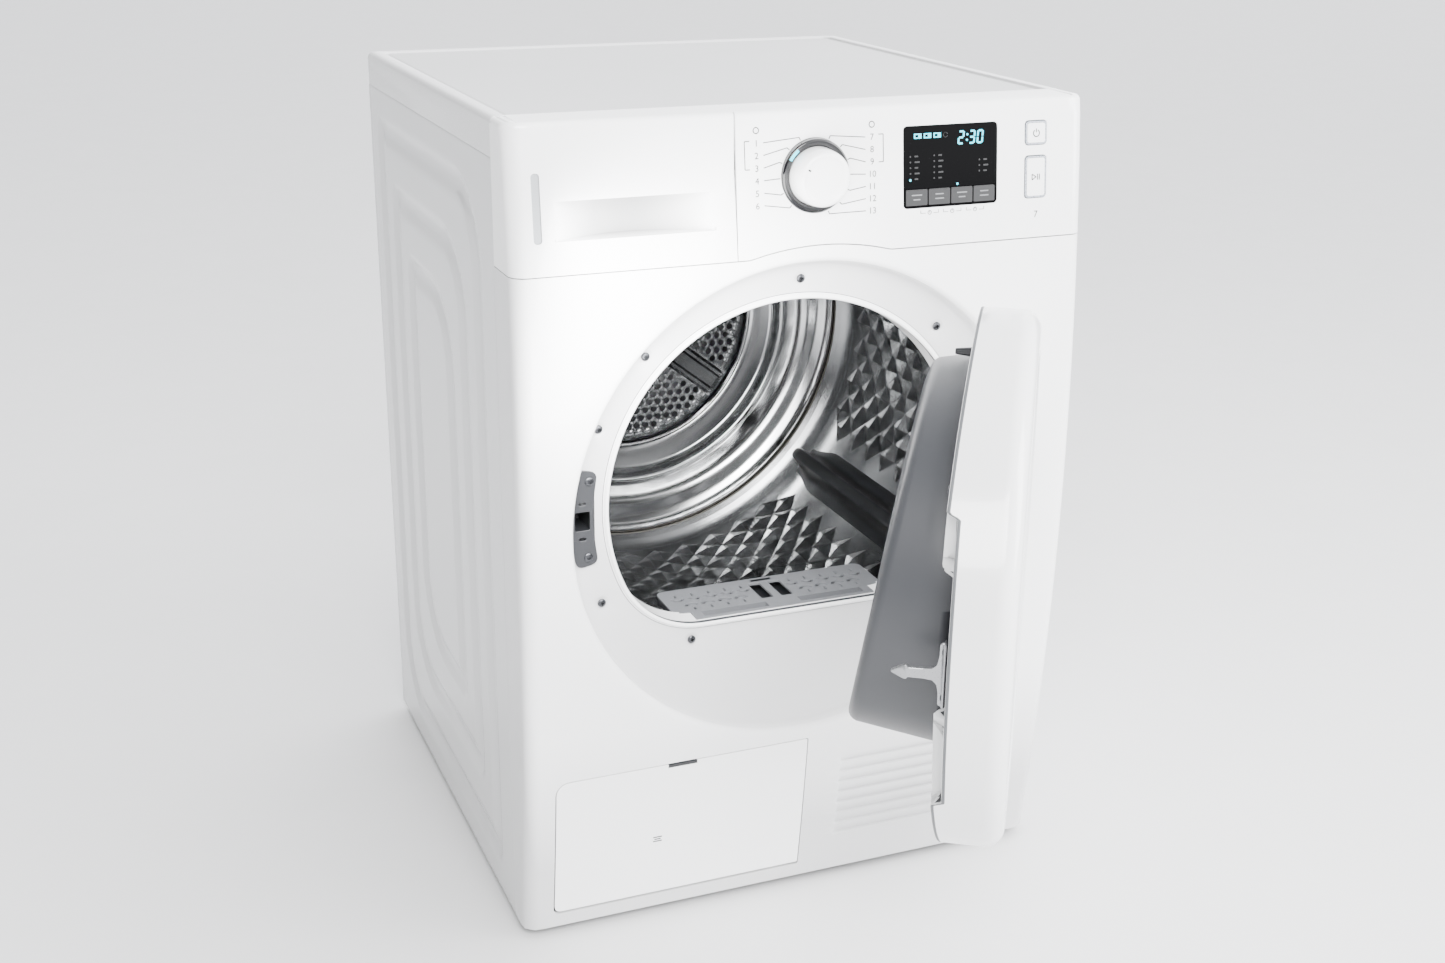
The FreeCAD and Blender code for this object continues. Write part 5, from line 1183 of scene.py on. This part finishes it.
def display():
    """Black window over a sunk strip, with lit digits and tags, dim scales, and four grey keys below."""
    skin("display_pane", dense(round_box(95.0, 198.0, 750.0, 828.0, 3.8), 6),
         [dense(round_box(97.0, 196.4, 752.0, 768.4, 0.6), 6)], lambda x, z: on_face(x, z, 0.2),
         "black_glass", "cabinet", ["display_window"], step=12, wall=2.5, bevel=0.35)
    decal("display_backing", [round_box(96.6, 196.6, 751.6, 769, 0.5)], LOOKS["black_glass"].mat, "cabinet",
          -1.6, "black_glass")
    decal("display_digits", seven("2:30", 153.5, 808.5, 7.0, 13.2, 1.75), GLOW, "cabinet", 0.5,
          "black_glass")
    tags = []
    for x0 in (106.0, 116.6, 127.2):
        tags += [round_box(x0, x0 + 8.2, 816.2, 817.4, 0.3, 2), round_box(x0, x0 + 8.2, 819.8, 821, 0.3, 2),
                 round_box(x0, x0 + 1.4, 817.4, 819.8, 0.2, 2),
                 round_box(x0 + 4.6, x0 + 8.2, 817.4, 819.8, 0.6, 2)]
    spots = [circle(101.8, 777.0, 1.15, 14), circle(153.6, 770.9, 1.15, 14)]
    decal("display_tags", tags + spots, GLOW, "cabinet", 0.5, "black_glass")
    dim = ring_strips(140.4, 818.6, 2.3, 0.8, 20, 340)
    for x, rows in ((102, 5), (128, 5), (178, 3)):
        for k in range(rows):
            z = 799.5 - 5.4 * k - (0 if rows == 5 else 6.6)
            dim.append(circle(x, z, 0.9, 10))
            dim.append(round_box(x + 4.5, x + 8.5 + (k % 2) * 1.6, z - 0.8, z + 0.8, 0.4, 2))
    decal("display_scales", dim, FAINT, "cabinet", 0.42, "black_glass")
    for n in range(4):
        lo, hi = low(f"option_key_{n + 1}"), high(f"option_key_{n + 1}")
        outline = round_box(lo.x + 0.3, hi.x - 0.3, lo.z + 0.3, hi.z - 0.3, 1.2)
        skin(f"option_key_cap_{n + 1}", dense(outline, 6), [], lambda x, z: on_face(x, z, 0.28),
             "key_plastic", f"option_{n + 1}", [f"option_key_{n + 1}"], step=6, wall=4)
        middle, height = (lo.x + hi.x) / 2, (lo.z + hi.z) / 2
        marks = [round_box(middle - w, middle + w, height + dz - 0.55, height + dz + 0.55, 0.4, 2)
                 for w, dz in ((5.6 - n % 2, 2.4), (3.8 + n % 2, -1.9))]
        decal(f"option_key_mark_{n + 1}", marks, PALE, f"option_{n + 1}", 0.55, "key_plastic")
    under = []
    for a, b in ((113.5, 133.0), (138.5, 158.0), (164.0, 183.5)):
        mid = (a + b) / 2
        under += [rod_strip(a, 744.5, mid - 4.4, 744.5, 0.45), rod_strip(mid + 4.4, 744.5, b, 744.5, 0.45),
                  rod_strip(a, 744.3, a, 747.4, 0.45), rod_strip(b, 744.3, b, 747.4, 0.45)]
        under += ring_strips(mid, 745, 1.9, 0.5, 0, 360, 14) + [rod_strip(mid, 744.8, mid, 747.0, 0.5)]
    decal("key_brackets", under, INK, "cabinet")


PALE = plain("pale_print", (0.16, 0.165, 0.17), 0.5, 900, 0.05, 0.1).mat
FRAME_METAL = plain("button_frame", (0.42, 0.45, 0.5), 0.28, 900, 0.04, 0.06, metal=0.7).mat


def push_buttons():
    """Power and start: a metal frame, a white cap and an icon each."""
    for label, body in (("power", "power_key"), ("start", "start_key")):
        lo, hi = low(f"{label}_button"), high(f"{label}_button")

        def outline(inset, radius):
            return round_box(lo.x + inset, hi.x - inset, lo.z + inset, hi.z - inset, radius, 6)

        skin(f"{label}_frame", outline(0.1, 4), [outline(1.9, 2.6)], lambda x, z: on_face(x, z, 0.9),
             "bright_steel", body, step=8, wall=4, bevel=0.35, looks=[FRAME_METAL])
        skin(f"{label}_cap", outline(2.0, 2.5), [], lambda x, z: on_face(x, z, 1.1), "white_plastic", body,
             [f"{label}_button"], step=6, wall=4, bevel=0.6)
        mx, mz = (lo.x + hi.x) / 2, (lo.z + hi.z) / 2
        if label == "power":
            icon = ring_strips(mx, mz - 0.3, 3.4, 0.9, 125, 415, 22)
            icon.append(rod_strip(mx, mz + 0.4, mx, mz + 4.2, 0.9))
        else:
            icon = [rod_strip(mx - 4.4, mz + up, mx + 0.2, mz, 0.9) for up in (2.8, -2.8)]
            icon += [rod_strip(mx + off, mz - 2.9, mx + off, mz + 2.9, 0.9) for off in (-4.4, 1.9, 4.0)]
        decal(f"{label}_icon", icon, INK, body, 1.32)


def dial():
    """Knob with a dished cap and rolled edge, in a gloss ring with a lit segment, and its printed scale."""
    x, z = DIAL_AT
    back, front = -295.6, low("program_knob").y
    body = soften([(0, front + 2.0), (17, front + 1.8), (20.5, front + 0.9), (22.3, front),
                   (24.6, front + 0.7), (26.4, front + 3.2), (27.3, front + 9), (27.9, back), (26.5, back)],
                  2.0, 4)
    verts, faces = lathe([(max(r, 0.01), d) for r, d in body], (x, z), 96)
    piece("knob_cap", verts, faces, "white_plastic", "knob", ["program_knob"], sharp=40)
    groove = rod((x - 15.6, front + 1.6, z + 8.6), (x - 18.6, front + 1.2, z + 10.3), 0.9)
    piece("knob_pointer", *groove, "dark_plastic", "knob")
    ring = soften([(28.5, -291.5), (28.5, -296.4), (30.0, -297.2), (33.4, -297.4), (34.9, -296.0),
                   (35.0, -291.5)], 0.8, 3)
    verts, faces = lathe(ring, (x, z), 96)
    piece("dial_ring", verts, faces, "ring_black", "cabinet", ["knob_ring"], sharp=40)
    section = ((30.2, -297.35), (33.2, -297.55), (33.2, -297.0), (30.2, -297.0))
    lit = [[Vector((x + r * math.cos(t), y, z + r * math.sin(t))) for r, y in section]
           for t in np.linspace(math.radians(128), math.radians(150), 10)]
    piece("dial_light", *loft(lit, True, True), "ring_black", "cabinet", looks=[GLOW])
    ticks, words = [], []
    for side, count in ((-1, 6), (1, 7)):
        for k in range(count):
            angle = math.radians(66 - 22.5 * k)
            sx, sz = x + side * 36.4 * math.cos(angle), z + 36.4 * math.sin(angle)
            ex, ez = x + side * 39.5 * math.cos(angle), z + 39.5 * math.sin(angle)
            tz = z + 33.0 - 11.6 * k
            tx = x + side * 53.0
            ticks.append(rod_strip(sx, sz, ex, ez, 0.9))
            ticks.append(rod_strip(ex, ez, tx, tz, 0.8))
            words.append((str(k + 1 if side < 0 else 6 + k + 1), tx + side * 7.0, tz - 3.0, 6.4))
    for side in (-1, 1):
        bx = x + side * 72.0
        ticks += [rod_strip(bx, z + 35, bx, z + 9, 0.8), rod_strip(bx, z + 35, bx - side * 5, z + 35, 0.8),
                  rod_strip(bx, z + 9, bx - side * 5, z + 9, 0.8)]
        ticks += ring_strips(x + side * 60, z + 44.5, 2.8, 0.9, 0, 360, 16)
    decal("dial_scale", ticks, INK, "cabinet")
    letters("dial_numerals", words, INK, "cabinet")
    letters("load_numeral", [("7", 243.0, 732.5, 7.0)], INK, "cabinet")


def level_window():
    """Clear strip that shows how full the tank is."""
    skin("level_glass", round_box(-277.8, -270.2, 742.2, 804.8, 3.0), [], lambda x, z: on_face(x, z, -0.9),
         "window_clear", "tank_drawer", ["level_window"], step=8, wall=2, bevel=0.3)


# ---------------------------------------------------------------- door
# Its pieces are drawn shut, then swung to where the door stands open.

hinge = next(j for j in record["behaviour"]["joints"] if j["name"] == "door_hinge")
swing = math.radians(-hinge["range_deg"][0])
pin = Vector((hinge["pos_m"][0], hinge["pos_m"][1], 0))
OPEN = Matrix.Translation(pin) @ Matrix.Rotation(swing, 4, "Z") @ Matrix.Translation(-pin)
DOOR_BACK, DOOR_BOW, DOOR_FRONT, DOOR_RADIUS = -296.0, 2952.0, -360.5, 243.4


def door_back(z):
    """Depth of the shut door's bowed back at one height."""
    rise = z - RING_AT[1]
    return DOOR_BACK - DOOR_BOW + math.sqrt(DOOR_BOW ** 2 - rise ** 2)


def plug_loop(swell=0.0, count=360):
    """Outline of the plug where it leaves the door."""
    return resample(opening_loop(swell, 186.0, 350.0, 84.0, 3.0), count)


def door_ring():
    """Moulded ring: soft front edge, bowed back with a finger recess and hinge slots, grey gasket line."""
    count = 720
    outline = [(math.atan2(b - RING_AT[1], a - RING_AT[0]), math.hypot(a - RING_AT[0], b - RING_AT[1]))
               for a, b in resample(opening_loop(0.8, 186.0, 350.0, 84.0, 2.0), 1440)]
    outline.sort()
    angles, reaches = np.array([o[0] for o in outline]), np.array([o[1] for o in outline])
    loops = []
    edge = 18.0
    front = [(206.4, DOOR_FRONT + 4.0), (206.4, DOOR_FRONT + 1.6), (206.9, DOOR_FRONT + 0.5),
             (208.0, DOOR_FRONT), (214, DOOR_FRONT), (DOOR_RADIUS - edge - 4, DOOR_FRONT)]
    front += [(DOOR_RADIUS - edge + edge * math.sin(t), DOOR_FRONT + edge - edge * math.cos(t))
              for t in np.linspace(0, math.pi / 2, 11)]
    grip_depth, grip_line = -308.0, -188.0
    for i in range(count):
        turn = -math.pi + 2 * math.pi * i / count
        c, s = math.cos(turn), math.sin(turn)
        inner = float(np.interp(turn, angles, reaches, period=2 * math.pi))

        def grip(r):
            x, z = RING_AT[0] + r * c, RING_AT[1] + r * s
            return smooth_step((grip_line - x) / 3) * smooth_step((z - 330) / 5) * smooth_step((590 - z) / 5)

        def back_at(r):
            deep = door_back(RING_AT[1] + r * s)
            return deep + (grip_depth - deep) * grip(r)

        end = back_at(DOOR_RADIUS)
        column = list(front)
        column += [(DOOR_RADIUS, DOOR_FRONT + edge + (end - 3.0 - DOOR_FRONT - edge) * k)
                   for k in (0.33, 0.66, 1.0)]
        column += [(DOOR_RADIUS, end - 1.2), (DOOR_RADIUS - 0.4, end - 0.4),
                   (DOOR_RADIUS - 1.3, back_at(DOOR_RADIUS - 1.3))]
        cross = (grip_line / c) if c < -0.5 else 0
        if not inner + 4 < cross < DOOR_RADIUS - 5:
            cross = inner + (DOOR_RADIUS - inner) * 0.45
        marks = [DOOR_RADIUS - 3, (DOOR_RADIUS + cross) / 2, cross + 4, cross + 2.7, cross + 1.6,
                 cross + 0.6, cross - 0.4, (cross + inner) / 2, inner + 1.5]
        column += [(r, back_at(r)) for r in marks]
        column += [(inner + less, back_at(inner) - down) for less, down in ((0.4, 0.4), (0, 1.5), (0, 11))]
        loops.append([Vector((RING_AT[0] + r * c, y, RING_AT[1] + r * s)) for r, y in column])
    length = len(loops[0])
    verts = [p for loop in loops for p in loop]
    faces, looks = [], []
    skirt = len(front) + 2
    for i in range(count):
        j = (i + 1) % count
        for k in range(length - 1):
            quad = (i * length + k, i * length + k + 1, j * length + k + 1, j * length + k)
            mid = sum((verts[q] for q in quad), Vector()) / 4
            hinge_slot = abs(abs(mid.z - RING_AT[1]) - 35) < 3.4 and 210 < mid.x < 225.5 and mid.y > -358
            if hinge_slot:
                continue
            in_grip = (length - 12 <= k < length - 3 and mid.y < -305 and mid.x < grip_line - 1.5 and
                       333 < mid.z < 587)
            faces.append(quad)
            looks.append(1 if in_grip else 2 if skirt <= k <= skirt + 1 else 0)
    piece("door_shell", verts, faces, "white_plastic", "door", ["door_ring"], sharp=38, thick=2.4,
          place=OPEN, looks=[DOOR_WHITE, LOOKS["grey_plastic"].mat, GASKET], face_looks=looks)


DOOR_WHITE = plain("door_gloss", (0.78, 0.783, 0.787), 0.2, 600, 0.03, 0.012, coat=0.4).mat
GASKET = plain("door_gasket", (0.1, 0.104, 0.11), 0.5, 1500, 0.1, 0.06).mat


def door_panel():
    """Dished outer panel, let into the ring behind a fine shadow line."""
    face = -359.3
    path = [(205.6, face + 5), (205.6, face + 0.8), (205.0, face + 0.15), (204, face), (197, face + 0.05)]
    for reach in np.linspace(188, 0.01, 26):
        rise = min(1, (1 - reach / 197) * 1.15) * math.pi / 2
        path.append((float(reach), face + 10.6 * math.sin(rise) ** 1.6))
    verts, faces = lathe(path, RING_AT, 200)
    piece("door_face", verts, faces, "white_plastic", "door", ["door_outer_panel"], sharp=45, thick=2.4,
          place=OPEN, looks=[DISH_PAINTED_SHADE])


# Painted shade: the door's dished white panel is set to a grey (0.46), darker than the ring, to stand in for
# the shade across the dish.
DISH_PAINTED_SHADE = plain("dish_gloss_painted_shade", (0.46, 0.465, 0.475), 0.14, 500, 0.02, 0.02, coat=0.6).mat


def door_liner():
    """Grey plug that reaches into the drum, its end cut on a slant, on a flat flange inside the ring."""
    near, reach, taper = -298.0, 92.0, 16.0
    centre = Vector((-12.0, 0, 475.0))

    def end_at(z):
        return -268.0 + (658 - z) * math.tan(math.radians(8.9))

    base = at_depth(plug_loop(), 0)
    loops = [at_depth(plug_loop(54.0), -311.0), at_depth(plug_loop(1.0), -311.0),
             at_depth(plug_loop(), -310.0)]
    for p in loops[0]:
        away = math.hypot(p.x, p.z - RING_AT[1])
        if away > 238:
            p.x, p.z = p.x * 238 / away, RING_AT[1] + (p.z - RING_AT[1]) * 238 / away
        if abs(p.z - RING_AT[1]) < 46:
            p.x = min(p.x, 206.0)

    def side_point(p, y):
        less = max(0.0, (y - near) / reach) * taper
        pull = (p - centre).normalized() * less
        return Vector((p.x - pull.x, y, p.z - pull.z))

    soft = 9.0
    for t in (0.0, 0.35, 0.7, 1.0):
        loops.append([side_point(p, near + (end_at(p.z) - soft - near) * t) for p in base])
    for turn in (18, 36, 54, 72, 90):
        a = math.radians(turn)
        row = []
        for p in base:
            y = end_at(p.z) - soft + soft * math.sin(a)
            q = side_point(p, end_at(p.z) - soft)
            pull = (q - Vector((centre.x, q.y, centre.z))).normalized() * soft * (1 - math.cos(a))
            row.append(Vector((q.x - pull.x, y, q.z - pull.z)))
        loops.append(row)
    last = loops[-1]
    for f in (0.96, 0.9, 0.75, 0.5, 0.25, 0.03):
        row = []
        for q in last:
            x, z = centre.x + (q.x - centre.x) * f, centre.z + (q.z - centre.z) * f
            row.append(Vector((x, end_at(z) - (1.2 if f < 0.93 else 0), z)))
        loops.append(row)
    verts, faces = loft(loops, False, True)
    piece("door_plug", verts, faces, "grey_plastic", "door", ["door_liner"], sharp=45, thick=2.0, place=OPEN)


def latch():
    """Hook with an arrow tip on a slim plate, blended with fillets, and a screw at each end of the plate."""
    x, z, back = -234.0, 464.0, DOOR_BACK
    tip, root = back + 32.6, back - 9.6
    half = [(root, 27.4), (root + 1.8, 27.8), (root + 3.4, 26.5), (root + 3.6, 16), (root + 5.0, 9.0),
            (root + 9, 5.2), (root + 16, 4.4), (tip - 13, 4.2), (tip - 12.2, 6.2), (tip - 10, 5.9),
            (tip - 1, 1.3), (tip, 0.4)]
    outline = soften(half + [(a, -b) for a, b in half[::-1]], 1.2, 3, True)
    loops = []
    for dx, less in ((-2.0, 0.5), (-1.6, 0), (1.6, 0), (2.0, 0.5)):
        loops.append([Vector((x + dx, a - math.copysign(less, a - (root + tip) / 2),
                              z + b - math.copysign(min(abs(b), less), b))) for a, b in outline])
    hook = loft(loops, True, True)
    plate = block((x - 6, x + 6), (root - 1.2, root + 0.9), (z - 27.8, z + 27.8), 0.7)
    piece("latch_body", *join(hook, plate), "bright_steel", "door", ["latch_hook"], sharp=35, place=OPEN,
          looks=[HOOK])
    heads = [cross_head(x, z + dz, root + 0.8, 1, 3.6, 1.5) for dz in (-20, 20)]
    piece("latch_screws", *join(*heads), "bright_steel", "door", sharp=30, place=OPEN, looks=[SCREW_LOOK])


HOOK = plain("hook_zinc", (0.3, 0.305, 0.315), 0.3, 700, 0.05, 0.06, metal=0.8).mat


def door_trims():
    """Screws round the door's back, and its buffer."""
    heads = []
    for turn in (38, 75, 140, 220, 262, 300):
        x, z = 217 * math.cos(math.radians(turn)), RING_AT[1] + 217 * math.sin(math.radians(turn))
        heads.append(cross_head(x, z, door_back(z) + 0.2, 1, 3.9, 2.0))
    piece("door_screw_heads", *join(*heads), "bright_steel", "door", ["door_screws"], sharp=30, place=OPEN,
          looks=[SCREW_LOOK])
    buffer = soften([(0.01, 5), (2.2, 5), (2.7, 4), (4.6, -13.6), (4.9, -14)], 0.8, 3)
    verts, faces = lathe([(r, DOOR_BACK + d) for r, d in buffer], (-60, 682), 40)
    piece("door_buffer_pin", verts, faces, "dark_plastic", "door", ["door_buffer"], sharp=40, place=OPEN)


# ---------------------------------------------------------------- build

front_panel()
control_fascia()
drawer_front()
level_window()
filter_flap()
side_panel(-1)
side_panel(1)
worktop()
seal()
cabinet_screws()
lock_plate()
lint_grille()
drum_wall()
for number in range(3):
    lifter(number)
rear_bulkhead()
air_disc()
display()
push_buttons()
dial()
door_ring()
door_panel()
door_liner()
latch()
door_trims()


# ---------------------------------------------------------------- stage, lights, camera


floor_look = plain("floor_white", (0.72, 0.72, 0.722), 0.6, 30, 0.0, 0.02).mat
span = 40.0
mesh = bpy.data.meshes.new("floor")
mesh.from_pydata([(-span, -span, 0), (span, -span, 0), (span, span, 0), (-span, span, 0)], [],
                 [(0, 1, 2, 3)])
mesh.materials.append(floor_look)
floor = bpy.data.objects.new("floor", mesh)
bpy.context.scene.collection.objects.link(floor)

world = bpy.data.worlds.new("studio")
bpy.context.scene.world = world
world.use_nodes = True
sky = world.node_tree
sky.nodes["Background"].inputs["Color"].default_value = (0.96, 0.97, 1.0, 1)
split = sky.nodes.new("ShaderNodeSeparateXYZ")
sky.links.new(sky.nodes.new("ShaderNodeTexCoord").outputs["Generated"], split.inputs["Vector"])
fade = sky.nodes.new("ShaderNodeMapRange")
fade.interpolation_type = "SMOOTHSTEP"
for key, value in (("From Min", -0.55), ("From Max", 0.65), ("To Min", 0.12), ("To Max", 5.0)):
    fade.inputs[key].default_value = value
sky.links.new(split.outputs["X"], fade.inputs["Value"])
sky.links.new(fade.outputs["Result"], sky.nodes["Background"].inputs["Strength"])


def lamp(name, place, target, power, wide, tall):
    light = bpy.data.lights.new(name, "AREA")
    light.shape = "RECTANGLE"
    light.energy = power
    light.size = wide
    light.size_y = tall
    item = bpy.data.objects.new(name, light)
    item.location = place
    item.rotation_euler = (Vector(target) - Vector(place)).to_track_quat("-Z", "Y").to_euler()
    bpy.context.scene.collection.objects.link(item)
    return item


aim = (0, -0.2, 0.5)
lamp("key_light", (-0.8, -3.0, 2.6), aim, 330, 2.2, 1.6)
lamp("right_light", (2.6, -1.8, 1.6), aim, 160, 1.4, 2.2)
lamp("left_light", (-3.0, 0.6, 2.2), aim, 14, 0.8, 2.4)
drum_light = lamp("drum_light", (-0.16, -0.42, 0.66), (0.16, 0.15, 0.42), 3.6, 0.26, 0.26)
drum_light.visible_camera = False

azimuth, elevation, roll = math.radians(-22.237), math.radians(19.78), math.radians(0.54)
back = Vector((math.sin(azimuth) * math.cos(elevation), -math.cos(azimuth) * math.cos(elevation),
               math.sin(elevation)))
right = Vector((0, 0, 1)).cross(back).normalized()
up = back.cross(right)
right, up = right * math.cos(roll) + up * math.sin(roll), up * math.cos(roll) - right * math.sin(roll)
lens = bpy.data.cameras.new("photo_camera")
lens.lens = 44.89
lens.sensor_width = 36.0
camera = bpy.data.objects.new("photo_camera", lens)
camera.matrix_world = Matrix((
    (right.x, up.x, back.x, -0.72277),
    (right.y, up.y, back.y, -1.8391),
    (right.z, up.z, back.z, 1.09155),
    (0, 0, 0, 1)))
bpy.context.scene.collection.objects.link(camera)
bpy.context.scene.camera = camera
